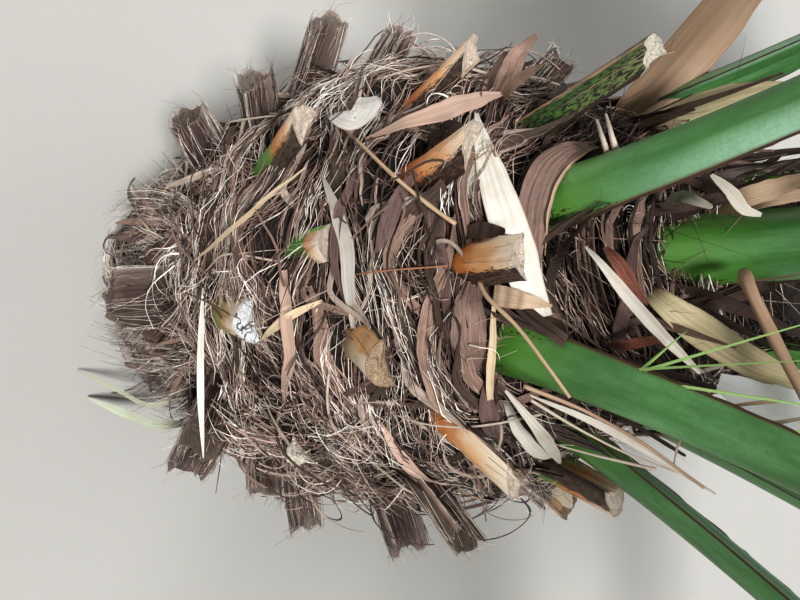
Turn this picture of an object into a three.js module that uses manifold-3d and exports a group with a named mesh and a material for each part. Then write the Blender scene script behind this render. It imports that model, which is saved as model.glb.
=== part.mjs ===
import * as THREE from 'three';
import { mergeVertices } from 'three/addons/utils/BufferGeometryUtils.js';
import Module from 'manifold-3d';

const wasm = await Module();
wasm.setup();

// A young date palm rooted in level ground: millimetres, +Z up, ground at z = 0.
// Azimuth 0 points to -Y, the side that the trunk is seen from, and 90 to +X.

// Parts that touch lie this far apart. A cutter is grown a little more, for its slanted faces.
const GAP = 0.3;
const CUTTER_GROWTH = 0.4;
const LEAN = { x: -0.012, y: 0.008 };

// Height and radius of the fibre-covered trunk, from its flare at the ground to the heart.
const TRUNK_PROFILE = [
  [0, 205], [35, 190], [90, 186], [150, 202], [220, 224], [300, 246], [400, 260],
  [500, 254], [600, 224], [700, 166], [780, 122], [860, 74], [900, 52],
];
const TRUNK_SIDES = 36;

// Cut leaf bases: azimuth, height, rise in degrees, length, width at the trunk, width at the cut.
const SEEN_BOOTS = [
  [-1, 636, 61, 98, 46, 40], [19, 526, 56, 80, 52, 48], [11, 316, 64, 95, 64, 52],
  [-6, 450, 70, 60, 48, 40], [5, 200, 5, 90, 78, 68], [46, 205, 17, 118, 70, 60],
  [-43, 200, 16, 84, 68, 60], [-30, 368, 62, 122, 58, 46], [-26, 582, 66, 82, 50, 44],
  [-52, 534, 66, 82, 48, 42], [-55, 655, 70, 138, 52, 42], [46, 578, 62, 116, 46, 36],
  [65, 488, 56, 114, 56, 46], [85, 597, 71, 102, 60, 50], [-73, 248, 41, 150, 64, 58],
  [-80, 355, 48, 96, 54, 46], [78, 222, 25, 136, 58, 50],
];
// Older stubs have grown into the mat and are one body with the trunk: the same six sizes,
// first those on the near side and then short ones in between the rows of the far side.
const SEEN_STUBS = [
  [-48, 300, 30, 78, 58, 50], [-17, 232, 24, 66, 42, 36], [35, 262, 32, 106, 70, 60],
  [64, 222, 27, 100, 60, 52], [84, 380, 30, 104, 66, 60], [45, 352, 52, 66, 54, 44],
];
const STUB_ROWS = [
  { height: 278, azimuths: [100, 139, 182, 226, 262] },
  { height: 400, azimuths: [97, 118, 160, 204, 248] },
  { height: 520, azimuths: [104, 182, 252] },
];
const STUB_LENGTH = 66;
const STUB_WIDTH = 56;
// The side away from the viewer carries the same leaf bases in staggered rows.
const BACK_ROWS = [
  { height: 215, azimuths: [118, 160, 205, 245] },
  { height: 340, azimuths: [138, 182, 226] },
  { height: 460, azimuths: [118, 160, 204] },
  { height: 575, azimuths: [142, 226] },
];
const BOOT_RISE_LOW = 8;
const BOOT_RISE_PER_MM = 0.125;
const BOOT_BACK_LENGTH = 130;
const BOOT_BACK_WIDTH_LOW = 74;
const BOOT_BACK_WIDTH_HIGH = 48;
const BOOT_BACK_TAPER = 0.8;
const BOOT_FOOT_WIDENING = 1.3;
const BOOT_FOOT_THICKNESS = 0.5;
const BOOT_STATIONS = 4;

// Fronds: azimuth and height of the foot, azimuth the frond leans to, rise at the foot,
// degrees it has bent down at the tip, length, and width of the stalk.
const FRONDS = [
  { foot: 78, height: 662, leans: 72, rise: 62, bend: 80, length: 2150, width: 48 },
  { foot: 28, height: 669, leans: 48, rise: 73, bend: 84, length: 2200, width: 62 },
  { foot: -21.5, height: 702, leans: -58, rise: 76, bend: 87, length: 2200, width: 68 },
  { foot: -112, height: 640, leans: -112, rise: 74, bend: 84, length: 2150, width: 46 },
  { foot: 122, height: 655, leans: 108, rise: 65, bend: 84, length: 2150, width: 48 },
  { foot: 163, height: 680, leans: 148, rise: 68, bend: 86, length: 2150, width: 50 },
  { foot: -158, height: 670, leans: -163, rise: 67, bend: 84, length: 2150, width: 50 },
  { foot: -9, height: 813, leans: -9, rise: 83, bend: 71, length: 2100, width: 62 },
  { foot: 140, height: 772, leans: 128, rise: 78, bend: 76, length: 2050, width: 50 },
  { foot: -136, height: 782, leans: -86, rise: 79, bend: 78, length: 2050, width: 50 },
  { foot: -176, height: 806, leans: -176, rise: 82, bend: 74, length: 2000, width: 50 },
  { foot: 96, height: 822, leans: 88, rise: 82, bend: 70, length: 1950, width: 46 },
  { foot: -90, height: 830, leans: -140, rise: 85, bend: 66, length: 1900, width: 44 },
];
const FOOT_DEPTH = 30;
const STALK_SHARE = 0.44;
const STALK_THICKNESS = 0.62;
const FOOT_FLARE = 0.28;
const FOOT_FLARE_LENGTH = 110;
const RIB_TIP_WIDTH = 7;
const RIB_TAPER = 0.85;
const BEND_POWER = 1.6;
const STALK_STATIONS = 6;
const RIB_STATIONS = 8;

// Leaflets stand in two ranks in a shallow V, first as short stiff ones low on the stalk.
const LEAFLET_FROM = 0.24;
const LEAFLET_TO = 0.97;
const LEAFLET_PAIRS = 15;
const LEAFLET_LONGEST = 400;
const LEAFLET_WIDTH = 0.11;
const LEAFLET_SWELL = [0.07, 0.86];
const LEAFLET_SWELL_POWER = 0.8;
const LEAFLET_THICKNESS = 4;
const LEAFLET_BROADEST = 0.42;
const LEAFLET_V = 24;
const LEAFLET_ANGLE_LOW = 62;
const LEAFLET_ANGLE_TIP = 30;
const LEAFLET_CLEAR = 1;
const SPLIT_BARE = 40;

// The unopened leaf in the heart.
const SPEAR = { foot: 900, length: 900, radius: 17, tip: 4, taper: 1.4, sides: 6, stations: 5 };

// Old dry leaves caught among the leaf bases: azimuth and height where they come out,
// azimuth they lean to, rise at the foot and at the tip, length and width.
const DRY_LEAVES = [
  { foot: -104, height: 690, leans: -98, rise: 46, end: 38, length: 320, width: 76 },
  { foot: -84, height: 742, leans: -62, rise: 72, end: 82, length: 170, width: 54 },
];
// One more lies across the trunk, from a low left end up to a high right end.
const LAID_LEAF = { azimuths: [-62, 20], heights: [602, 708], width: 44, bulge: 3, stations: 8 };
const DRY_THICKNESS = 5;
const DRY_SWELL = [0.22, 0.96];
const LAID_SWELL = [0.02, 0.7];
const DRY_TIP_SHARE = 0.12;
const DRY_STATIONS = 6;

const COLOUR = {
  trunk: '#6b5443', boot: '#8a6a4c', stalk: '#4c7a3f', leaflet: '#5d7a4a',
  spear: '#8fa862', dry: '#c9b48c',
};

const radians = THREE.MathUtils.degToRad;
const lerp = THREE.MathUtils.lerp;

function trunkRadius(height) {
  const last = TRUNK_PROFILE.length - 1;
  if (height >= TRUNK_PROFILE[last][0]) return TRUNK_PROFILE[last][1];
  const upper = TRUNK_PROFILE.findIndex(([z]) => z > height);
  const [z0, r0] = TRUNK_PROFILE[upper - 1];
  const [z1, r1] = TRUNK_PROFILE[upper];
  return lerp(r0, r1, (height - z0) / (z1 - z0));
}

function outward(azimuth) {
  const angle = radians(azimuth);
  return new THREE.Vector3(Math.sin(angle), -Math.cos(angle), 0);
}

function sideways(azimuth) {
  const angle = radians(azimuth);
  return new THREE.Vector3(Math.cos(angle), Math.sin(angle), 0);
}

// A point inside the trunk's surface, `depth` from it, on the leaning axis.
function footOn(azimuth, height, depth) {
  const reach = trunkRadius(height) - depth;
  return outward(azimuth).multiplyScalar(reach).add(
    new THREE.Vector3(LEAN.x * height, LEAN.y * height, height));
}

// Frame along a curve in an upright plane: centre, tangent, width direction, upper face direction.
function frameAt(centre, azimuth, rise) {
  const e = radians(rise);
  const out = outward(azimuth);
  const up = new THREE.Vector3(0, 0, 1);
  return {
    centre: centre.clone(),
    along: out.clone().multiplyScalar(Math.cos(e)).addScaledVector(up, Math.sin(e)),
    across: sideways(azimuth),
    above: out.clone().multiplyScalar(-Math.sin(e)).addScaledVector(up, Math.cos(e)),
  };
}

const WALK_STEP = 6;

// Walks a curve whose rise changes along it, in `steps` frames from arc length `from` to `to`.
function walk(start, azimuth, riseAt, from, to, steps) {
  const frames = [];
  const centre = start.clone();
  let place = 0;
  const advance = (target) => {
    const count = Math.max(1, Math.ceil((target - place) / WALK_STEP));
    const step = (target - place) / count;
    for (let i = 0; i < count; i += 1) {
      centre.addScaledVector(frameAt(centre, azimuth, riseAt(place + step / 2)).along, step);
      place += step;
    }
  };
  for (let i = 0; i < steps; i += 1) {
    const target = lerp(from, to, i / (steps - 1));
    if (target > place) advance(target);
    frames.push({ ...frameAt(centre, azimuth, riseAt(target)), place: target });
  }
  return frames;
}

// Section of a leaf base or stalk, in shares of width and thickness: keeled below, channelled above.
const KEELED = [[-0.5, 0.1], [-0.34, -0.55], [0, -0.8], [0.34, -0.55], [0.5, 0.1], [0, 0]];
const FLAT = [[-0.5, -0.5], [0.5, -0.5], [0.5, 0.5], [-0.5, 0.5]];

// A closed body through one ring of points per frame, with flat ends.
function loft(rings, section) {
  const count = section.length;
  const flat = section.map(([x, y]) => new THREE.Vector2(x, y));
  const caps = THREE.ShapeUtils.triangulateShape(flat, []);
  const positions = rings.flat().flatMap((point) => [point.x, point.y, point.z]);
  const faces = [];
  for (let ring = 0; ring + 1 < rings.length; ring += 1) {
    for (let i = 0; i < count; i += 1) {
      const j = (i + 1) % count;
      const [a, b] = [ring * count + i, ring * count + j];
      faces.push(a, a + count, b, b, a + count, b + count);
    }
  }
  const top = (rings.length - 1) * count;
  for (const [a, b, c] of caps) {
    faces.push(a, b, c, top + a, top + c, top + b);
  }
  const geometry = new THREE.BufferGeometry();
  geometry.setAttribute('position', new THREE.Float32BufferAttribute(positions, 3));
  geometry.setIndex(faces);
  return geometry;
}

// The section's points at their real size, each moved `grow` away from its middle along both axes.
function ringAt(frame, section, width, thickness, grow) {
  const middle = section.reduce((sum, [, y]) => sum + y, 0) / section.length;
  return section.map(([x, y]) => frame.centre.clone()
    .addScaledVector(frame.across, x * width + grow * Math.sign(x))
    .addScaledVector(frame.above, y * thickness + grow * Math.sign(y - middle)));
}

const MERGE_DISTANCE = 1e-4;

function toSolid(geometry) {
  const merged = mergeVertices(geometry, MERGE_DISTANCE);
  const build = (triangles) => new wasm.Manifold(new wasm.Mesh({
    numProp: 3,
    vertProperties: new Float32Array(merged.attributes.position.array),
    triVerts: new Uint32Array(triangles),
  }));
  const triangles = Array.from(merged.index.array);
  const solid = build(triangles);
  if (solid.volume() > 0) return solid;
  for (let i = 0; i < triangles.length; i += 3) {
    [triangles[i + 1], triangles[i + 2]] = [triangles[i + 2], triangles[i + 1]];
  }
  return build(triangles);
}

function toGeometry(solid) {
  const mesh = solid.getMesh();
  const geometry = new THREE.BufferGeometry();
  geometry.setAttribute('position', new THREE.Float32BufferAttribute(mesh.vertProperties, 3));
  geometry.setIndex(Array.from(mesh.triVerts));
  geometry.computeVertexNormals();
  return geometry;
}

function biggestPiece(solid) {
  return solid.decompose().sort((a, b) => b.volume() - a.volume())[0];
}

// The bare trunk: the profile turned round, then sheared to its lean, `grow` larger all round.
function boleSolid(grow) {
  const [top] = TRUNK_PROFILE[TRUNK_PROFILE.length - 1];
  const wall = TRUNK_PROFILE.map(([z, r]) => new THREE.Vector2(r + grow, z));
  const outline = [new THREE.Vector2(0, -grow)];
  if (grow > 0) outline.push(new THREE.Vector2(wall[0].x, -grow));
  outline.push(...wall, new THREE.Vector2(0, top + grow));
  const lathe = new THREE.LatheGeometry(outline, TRUNK_SIDES);
  lathe.deleteAttribute('normal');
  lathe.deleteAttribute('uv');
  lathe.rotateX(Math.PI / 2);
  const shear = new THREE.Matrix4().set(1, 0, LEAN.x, 0, 0, 1, LEAN.y, 0, 0, 0, 1, 0, 0, 0, 0, 1);
  lathe.applyMatrix4(shear);
  return toSolid(lathe);
}

// A stub of old leaf that leaves the trunk at one rise and ends in a square cut.
function bootSolid([azimuth, height, rise, length, footWidth, cutWidth], grow) {
  const start = footOn(azimuth, height, FOOT_DEPTH);
  const full = length + FOOT_DEPTH;
  const frames = walk(start, azimuth, () => rise, 0, full + grow, BOOT_STATIONS);
  const rings = frames.map((frame) => {
    const share = frame.place / full;
    const width = lerp(footWidth * BOOT_FOOT_WIDENING, cutWidth, Math.sqrt(share));
    return ringAt(frame, KEELED, width, width * lerp(BOOT_FOOT_THICKNESS, STALK_THICKNESS, share), grow);
  });
  return toSolid(loft(rings, KEELED));
}

const boleRise = (height) => (
  BOOT_RISE_LOW + BOOT_RISE_PER_MM * (height - BACK_ROWS[0].height));

// The trunk is the bole with its ingrown stubs.
function trunkSolid(grow) {
  const farStubs = STUB_ROWS.flatMap(({ height, azimuths }) => azimuths.map((azimuth) => (
    [azimuth, height, boleRise(height), STUB_LENGTH, STUB_WIDTH, STUB_WIDTH * BOOT_BACK_TAPER])));
  const stubs = [...SEEN_STUBS, ...farStubs].map((stub) => bootSolid(stub, grow));
  return wasm.Manifold.union([boleSolid(grow), ...stubs]);
}

const riseOf = (frond) => (place) => (
  frond.rise - frond.bend * (Math.max(0, place) / frond.length) ** BEND_POWER);

function ribWidth(frond, place) {
  const share = Math.max(0, place) / frond.length;
  const flare = FOOT_FLARE * Math.exp(-Math.max(0, place) / FOOT_FLARE_LENGTH);
  return lerp(frond.width * (1 + flare), RIB_TIP_WIDTH, share ** RIB_TAPER);
}

function ribSolid(frond, from, to, stations, grow) {
  const frames = walk(frondStart(frond), frond.leans, riseOf(frond), from, to, stations);
  const rings = frames.map((frame) => {
    const width = ribWidth(frond, frame.place);
    return ringAt(frame, KEELED, width, width * STALK_THICKNESS, grow);
  });
  return toSolid(loft(rings, KEELED));
}

function frondStart(frond) {
  return footOn(frond.foot, frond.height, FOOT_DEPTH);
}

// One leaflet: a thin kite that starts inside the rib, broadest before its middle.
function leafletSolid(frame, side, length, angle, grow) {
  const a = radians(angle);
  const v = radians(LEAFLET_V);
  const aside = frame.across.clone().multiplyScalar(side * Math.cos(v))
    .addScaledVector(frame.above, Math.sin(v));
  const along = frame.along.clone().multiplyScalar(Math.cos(a)).addScaledVector(aside, Math.sin(a));
  const above = new THREE.Vector3().crossVectors(aside, frame.along).normalize();
  const across = new THREE.Vector3().crossVectors(along, above).normalize();
  const half = length * LEAFLET_WIDTH / 2 + grow;
  const thick = LEAFLET_THICKNESS / 2 + grow;
  const at = (share, offset, lift) => frame.centre.clone()
    .addScaledVector(along, share * length)
    .addScaledVector(across, offset)
    .addScaledVector(above, lift);
  const outline = [[0, 0], [LEAFLET_BROADEST, -half], [1, 0], [LEAFLET_BROADEST, half]];
  const face = (lift) => outline.map(([share, offset]) => at(share, offset, lift));
  return toSolid(loft([face(-thick), face(thick)], outline));
}

function leafletPlaces(frond) {
  const places = [];
  for (let pair = 0; pair < LEAFLET_PAIRS; pair += 1) {
    const share = pair / (LEAFLET_PAIRS - 1);
    const size = Math.sin(Math.PI * lerp(...LEAFLET_SWELL, share ** LEAFLET_SWELL_POWER));
    places.push({
      place: frond.length * lerp(LEAFLET_FROM, LEAFLET_TO, share),
      length: LEAFLET_LONGEST * size,
      angle: lerp(LEAFLET_ANGLE_LOW, LEAFLET_ANGLE_TIP, share),
    });
  }
  return places;
}

// A rib with the leaflets that stand on it; a leaflet that would touch another part is left off.
function leafySolid(frond, rib, from, to, others) {
  const pieces = [rib];
  for (const { place, length, angle } of leafletPlaces(frond)) {
    if (place < from || place > to) continue;
    const [frame] = walk(frondStart(frond), frond.leans, riseOf(frond), place, place + 1, 2);
    for (const side of [-1, 1]) {
      const probe = leafletSolid(frame, side, length, angle, LEAFLET_CLEAR);
      const touches = others.some((other) => meet(probe, other));
      if (!touches) pieces.push(leafletSolid(frame, side, length, angle, 0));
    }
  }
  return biggestPiece(wasm.Manifold.union(pieces));
}

function boxesMeet(a, b) {
  const [p, q] = [a.boundingBox(), b.boundingBox()];
  return [0, 1, 2].every((i) => p.min[i] <= q.max[i] && q.min[i] <= p.max[i]);
}

const meet = (a, b) => boxesMeet(a, b) && a.intersect(b).volume() > 0;

function clearOf(solid, others) {
  return others.reduce((left, other) => (boxesMeet(left, other) ? left.subtract(other) : left), solid);
}

const swell = (range, share) => Math.max(DRY_TIP_SHARE, Math.sin(Math.PI * lerp(...range, share)));

function drySolid(leaf, grow) {
  const riseAt = (place) => lerp(leaf.rise, leaf.end, Math.max(0, place) / leaf.length);
  const start = footOn(leaf.foot, leaf.height, FOOT_DEPTH / 2);
  const frames = walk(start, leaf.leans, riseAt, 0, leaf.length, DRY_STATIONS);
  const rings = frames.map((frame) => {
    const share = frame.place / leaf.length;
    return ringAt(frame, FLAT, leaf.width * swell(DRY_SWELL, share), DRY_THICKNESS, grow);
  });
  return toSolid(loft(rings, FLAT));
}

// The laid leaf follows the trunk's surface at an even climb, its width lying along the slope.
function laidSolid(grow) {
  const rings = Array.from({ length: LAID_LEAF.stations }, (_, i) => {
    const share = i / (LAID_LEAF.stations - 1);
    const azimuth = lerp(...LAID_LEAF.azimuths, share);
    const height = lerp(...LAID_LEAF.heights, share);
    const width = LAID_LEAF.width * swell(LAID_SWELL, share);
    const edge = (side) => footOn(azimuth, height + side * width / 2, -LAID_LEAF.bulge);
    const upSlope = edge(1).sub(edge(-1)).normalize();
    const offTrunk = new THREE.Vector3().crossVectors(upSlope, sideways(azimuth)).normalize();
    const frame = { centre: edge(0), across: upSlope, above: offTrunk };
    return ringAt(frame, FLAT, width, DRY_THICKNESS, grow);
  });
  return toSolid(loft(rings, FLAT));
}

// The spear is a slim many-sided point that stands on the heart.
function spearSolid(grow) {
  const start = new THREE.Vector3(LEAN.x * SPEAR.foot, LEAN.y * SPEAR.foot, SPEAR.foot + GAP);
  const section = Array.from({ length: SPEAR.sides }, (_, i) => {
    const angle = (2 * Math.PI * i) / SPEAR.sides;
    return [Math.cos(angle), Math.sin(angle)];
  });
  const rings = walk(start, 0, () => 90, 0, SPEAR.length, SPEAR.stations).map((frame) => {
    const radius = lerp(SPEAR.radius, SPEAR.tip, (frame.place / SPEAR.length) ** SPEAR.taper);
    return ringAt(frame, section, radius, radius, grow);
  });
  return toSolid(loft(rings, section));
}

const palm = new THREE.Group();

function addPart(name, solid, colour, roughness) {
  const material = new THREE.MeshStandardMaterial({ color: colour, roughness, metalness: 0 });
  const mesh = new THREE.Mesh(toGeometry(solid), material);
  mesh.name = name;
  palm.add(mesh);
}

const numbered = (word, index) => `${word}_${String(index + 1).padStart(2, '0')}`;

addPart('trunk', trunkSolid(0), COLOUR.trunk, 0.95);

// Each part is cut clear of the trunk and of the parts placed before it.
const placed = [trunkSolid(GAP)];
function settle(make) {
  const solid = biggestPiece(clearOf(make(0), placed));
  placed.push(make(CUTTER_GROWTH));
  return solid;
}

const splitOf = (frond) => frond.length * STALK_SHARE;
const stalks = FRONDS.map((frond) => settle(
  (grow) => ribSolid(frond, 0, splitOf(frond) + grow, STALK_STATIONS, grow)));
const spear = settle(spearSolid);
addPart('spear_leaf', spear, COLOUR.spear, 0.5);

const backBoots = BACK_ROWS.flatMap(({ height, azimuths }) => azimuths.map((azimuth) => {
  const [lowest, highest] = [BACK_ROWS[0].height, BACK_ROWS[BACK_ROWS.length - 1].height];
  const climb = (height - lowest) / (highest - lowest);
  const width = lerp(BOOT_BACK_WIDTH_LOW, BOOT_BACK_WIDTH_HIGH, climb);
  return [azimuth, height, boleRise(height), BOOT_BACK_LENGTH, width, width * BOOT_BACK_TAPER];
}));
const boots = [...SEEN_BOOTS, ...backBoots].map((boot) => settle((grow) => bootSolid(boot, grow)));
boots.forEach((solid, index) => addPart(numbered('boot', index), solid, COLOUR.boot, 0.85));

const dryMakers = [...DRY_LEAVES.map((leaf) => (grow) => drySolid(leaf, grow)), laidSolid];
const dryLeaves = dryMakers.map(settle);
dryLeaves.forEach((solid, index) => addPart(numbered('dry_leaf', index), solid, COLOUR.dry, 0.8));

// Each frond is two nodes, parted where it begins to bend over.
const ribs = FRONDS.map((frond) => ribSolid(frond, splitOf(frond) + GAP, frond.length, RIB_STATIONS, 0));
const finished = [spear, ...boots, ...dryLeaves];
FRONDS.forEach((frond, index) => {
  const [stalk, rib, split] = [stalks[index], ribs[index], splitOf(frond)];
  const others = [...finished, ...stalks, ...ribs].filter((other) => other !== stalk && other !== rib);
  const lower = leafySolid(frond, stalk, 0, split - SPLIT_BARE, [...others, rib]);
  const outer = leafySolid(frond, rib, split + SPLIT_BARE, frond.length, [...others, lower]);
  finished.push(lower, outer);
  addPart(`${numbered('frond', index)}_stalk`, lower, COLOUR.stalk, 0.45);
  addPart(`${numbered('frond', index)}_blade`, outer, COLOUR.leaflet, 0.6);
});

export default palm;
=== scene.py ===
import math

import bpy
import numpy as np
from bpy.props import FloatProperty, FloatVectorProperty, IntProperty, PointerProperty
from mathutils import Matrix, Vector


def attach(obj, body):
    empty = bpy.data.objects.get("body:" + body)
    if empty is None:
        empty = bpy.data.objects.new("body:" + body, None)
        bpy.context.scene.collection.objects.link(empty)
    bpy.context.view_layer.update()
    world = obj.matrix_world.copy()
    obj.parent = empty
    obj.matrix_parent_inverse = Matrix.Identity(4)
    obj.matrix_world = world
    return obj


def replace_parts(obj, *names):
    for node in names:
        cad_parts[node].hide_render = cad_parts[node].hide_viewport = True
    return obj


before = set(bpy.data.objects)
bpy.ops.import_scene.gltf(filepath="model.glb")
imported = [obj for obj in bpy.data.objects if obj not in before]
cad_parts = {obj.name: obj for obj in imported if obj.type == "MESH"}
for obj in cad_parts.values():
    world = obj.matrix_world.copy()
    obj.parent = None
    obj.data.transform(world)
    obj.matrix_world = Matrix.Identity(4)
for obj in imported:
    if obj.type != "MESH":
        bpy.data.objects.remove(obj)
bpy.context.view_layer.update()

# A young date palm rooted in level ground: metres, +Z up, ground at z = 0.
# Azimuth 0 points to -Y, the side that the trunk is seen from, and 90 to +X.

bl_info = {
    "name": "Young Date Palm",
    "version": (1, 0, 0),
    "blender": (4, 5, 0),
    "location": "3D View > Sidebar > Palm",
    "description": "Fibrous trunk, cut leaf bases, dry leaves and fronds of a young date palm",
    "category": "Add Mesh",
}

BODY = "root"

# Height and radius of the trunk, from its flare at the ground to the heart, and how far it leans per metre
TRUNK_HEIGHTS = (0, 0.035, 0.09, 0.15, 0.22, 0.3, 0.4, 0.5, 0.6, 0.7, 0.78, 0.86, 0.9)
TRUNK_RADII = (0.205, 0.19, 0.186, 0.202, 0.224, 0.246, 0.26, 0.254, 0.224, 0.166, 0.122, 0.074, 0.052)
TRUNK_TOP = TRUNK_HEIGHTS[-1]
LEAN = np.array([-0.012, 0.008, 0.0])

# Cut leaf bases: azimuth, height, rise in degrees, length, width at the trunk, width at the cut,
# finish, and the side that its dark flank is on, from -1 to 1
SEEN_BOOTS = [
    (-1, 0.636, 61, 0.098, 0.046, 0.04, "cream", 1),
    (19, 0.526, 56, 0.08, 0.052, 0.048, "tan", -1),
    (11, 0.316, 64, 0.095, 0.064, 0.052, "chalky", 1),
    (-6, 0.45, 70, 0.06, 0.048, 0.04, "green", -1),
    (5, 0.2, 5, 0.09, 0.078, 0.068, "weathered", 1),
    (46, 0.205, 17, 0.118, 0.07, 0.06, "weathered", -1),
    (-43, 0.2, 16, 0.084, 0.068, 0.06, "weathered", 1),
    (-30, 0.368, 62, 0.122, 0.058, 0.046, "fresh", 1),
    (-26, 0.582, 66, 0.082, 0.05, 0.044, "orange", 1),
    (-52, 0.534, 66, 0.082, 0.048, 0.042, "orange", 1),
    (-55, 0.655, 70, 0.138, 0.052, 0.042, "mossy", -1),
    (46, 0.578, 62, 0.116, 0.046, 0.036, "cream", 1),
    (65, 0.488, 56, 0.114, 0.056, 0.046, "dark", 1),
    (85, 0.597, 71, 0.102, 0.06, 0.05, "fresh", -1),
    (-73, 0.248, 41, 0.15, 0.064, 0.058, "grey", 1),
    (-80, 0.355, 48, 0.096, 0.054, 0.046, "grey", 1),
    (78, 0.222, 25, 0.136, 0.058, 0.05, "grey", -1),
]
# Older stubs that have grown into the trunk: the same sizes and finishes
SEEN_STUBS = [
    (-48, 0.3, 30, 0.078, 0.058, 0.05, "grey", 1),
    (-17, 0.232, 24, 0.066, 0.042, 0.036, "weathered", -1),
    (35, 0.262, 32, 0.106, 0.07, 0.06, "dark", -1),
    (64, 0.222, 27, 0.1, 0.06, 0.052, "grey", -1),
    (84, 0.38, 30, 0.104, 0.066, 0.06, "grey", -1),
    (45, 0.352, 52, 0.066, 0.054, 0.044, "mossy", -1),
]
STUB_ROWS = [
    (0.278, (100, 139, 182, 226, 262)),
    (0.4, (97, 118, 160, 204, 248)),
    (0.52, (104, 182, 252)),
]
STUB_LENGTH, STUB_WIDTH = 0.066, 0.056
# The side away from the viewer carries the same leaf bases in staggered rows: height, azimuths, finishes
BACK_ROWS = [
    (0.215, (118, 160, 205, 245), ("weathered", "grey", "weathered", "grey")),
    (0.34, (138, 182, 226), ("grey", "chalky", "dark")),
    (0.46, (118, 160, 204), ("tan", "fresh", "dark")),
    (0.575, (142, 226), ("orange", "mossy")),
]
BACK_RISE_LOW, BACK_RISE_PER_METRE = 8, 125
BACK_LENGTH = 0.13
BACK_WIDTHS = (0.074, 0.048)
BACK_TAPER = 0.8
FOOT_DEPTH = 0.03
FOOT_WIDENING = 1.3
FOOT_THICKNESS, CUT_THICKNESS = 0.5, 0.62

# Fronds: azimuth and height of the foot, azimuth the frond leans to, rise at the foot,
# degrees it has bent down at the tip, length, and width of the stalk
FRONDS = [
    (78, 0.662, 72, 62, 80, 2.15, 0.048),
    (28, 0.669, 48, 73, 84, 2.2, 0.062),
    (-21.5, 0.702, -58, 76, 87, 2.2, 0.068),
    (-112, 0.64, -112, 74, 84, 2.15, 0.046),
    (122, 0.655, 108, 65, 84, 2.15, 0.048),
    (163, 0.68, 148, 68, 86, 2.15, 0.05),
    (-158, 0.67, -163, 67, 84, 2.15, 0.05),
    (-9, 0.813, -9, 83, 71, 2.1, 0.062),
    (140, 0.772, 128, 78, 76, 2.05, 0.05),
    (-136, 0.782, -86, 79, 78, 2.05, 0.05),
    (-176, 0.806, -176, 82, 74, 2.0, 0.05),
    (96, 0.822, 88, 82, 70, 1.95, 0.046),
    (-90, 0.83, -140, 85, 66, 1.9, 0.044),
]
STALK_THICKNESS = 0.62
FOOT_FLARE, FOOT_FLARE_LENGTH = 0.28, 0.11
RIB_TIP_WIDTH, RIB_TAPER, BEND_POWER = 0.007, 0.85, 1.6
LEAFLET_SPAN = (0.24, 0.97)
LEAFLET_SWELL, LEAFLET_SWELL_POWER = (0.07, 0.86), 0.8
LEAFLET_ANGLES = (62, 30)

SPEAR_FOOT, SPEAR_LENGTH = 0.9, 0.9
SPEAR_RADII, SPEAR_TAPER, SPEAR_PLEATS = (0.017, 0.004), 1.4, 9
SPEAR_SIDES, SPEAR_STATIONS = 72, 60

UP = np.array([0.0, 0.0, 1.0])


# Sizes and colours that a user would change

def linear(code):
    """A colour written as six hexadecimal digits, as linear red, green and blue with full alpha."""
    channels = [int(code[i:i + 2], 16) / 255 for i in (0, 2, 4)]
    return tuple(c / 12.92 if c <= 0.04045 else ((c + 0.055) / 1.055) ** 2.4 for c in channels) + (1.0,)


def colour(label, about, code):
    return FloatVectorProperty(
        name=label, description=about, subtype="COLOR", size=4, min=0, max=1, default=linear(code))


def size(label, about, metres, most=3.0):
    return FloatProperty(
        name=label, description=about, unit="LENGTH", min=0, max=most, default=metres, precision=4)


def amount(label, about, number, least, most):
    return IntProperty(name=label, description=about, min=least, max=most, default=number)


class PalmTrunkSettings(bpy.types.PropertyGroup):
    lump_height: size("Lump height", "Bulges of the mat", 0.016, 0.05)
    strand_height: size("Strand height", "Depth of the fine strands in the skin", 0.0016, 0.01)
    boot_swelling: size("Swelling at leaf bases", "Swelling round the foot of a cut base", 0.017, 0.05)
    stalk_swelling: size("Swelling at stalks", "Swelling round the foot of a living stalk", 0.02, 0.05)
    # Nearly black: dark matting, and painted shade under the fibres that lie on the skin
    gap_matting_and_shade: colour("Gaps", "Dark matting between the strands", "130d0a")
    strand_colour: colour("Strands", "Woven strands of the skin", "5a463a")


class PalmFibreSettings(bpy.types.PropertyGroup):
    locks: amount("Locks", "Locks of fibre on the trunk", 1450, 10, 4000)
    fibres_per_lock: amount("Fibres in a lock", "Fibres side by side", 9, 1, 40)
    longest: size("Longest fibre", "Longest fibre in a lock", 0.24, 1.0)
    radius: size("Fibre radius", "Radius at its middle", 0.00048, 0.01)
    curls: amount("Loose curls", "Fibres that curl off the trunk", 3000, 0, 6000)
    straps: amount("Straps at a leaf base", "Torn straps round each leaf base", 13, 2, 40)
    flaps: amount("Flaps", "Short torn flaps of sheath", 420, 0, 2000)
    # Dark and umber go mostly to the fibres lying deepest in the mat, partly as painted shade
    dark: colour("Dark fibre", "Old fibre deep in the mat", "241b16")
    umber: colour("Umber fibre", "Brown fibre deep in the mat", "493b34")
    brown: colour("Brown fibre", "The commonest fibre", "8f786b")
    rosy: colour("Rosy fibre", "Brown fibre with a pink cast", "aa9086")
    tan: colour("Tan fibre", "Fibre bleached on top of the mat", "c2ae9f")
    pale: colour("Pale fibre", "Loose dry strands", "e4d8cd")
    bone: colour("Bone fibre", "Strands bleached nearly white", "efe5da")
    grey: colour("Grey fibre", "Weathered fibre low on the trunk", "aba39c")
    # Dark straps, commoner high on the trunk by the heart
    sheath_dark: colour("Dark sheath", "Wet-brown straps high on the trunk", "46372f")
    sheath_brown: colour("Brown sheath", "Torn straps of leaf sheath", "7e675b")
    sheath_plum: colour("Plum sheath", "Younger sheath with a purple cast", "5b4743")
    sheath_pale: colour("Pale sheath", "Bleached straps of sheath", "b6a496")


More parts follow.
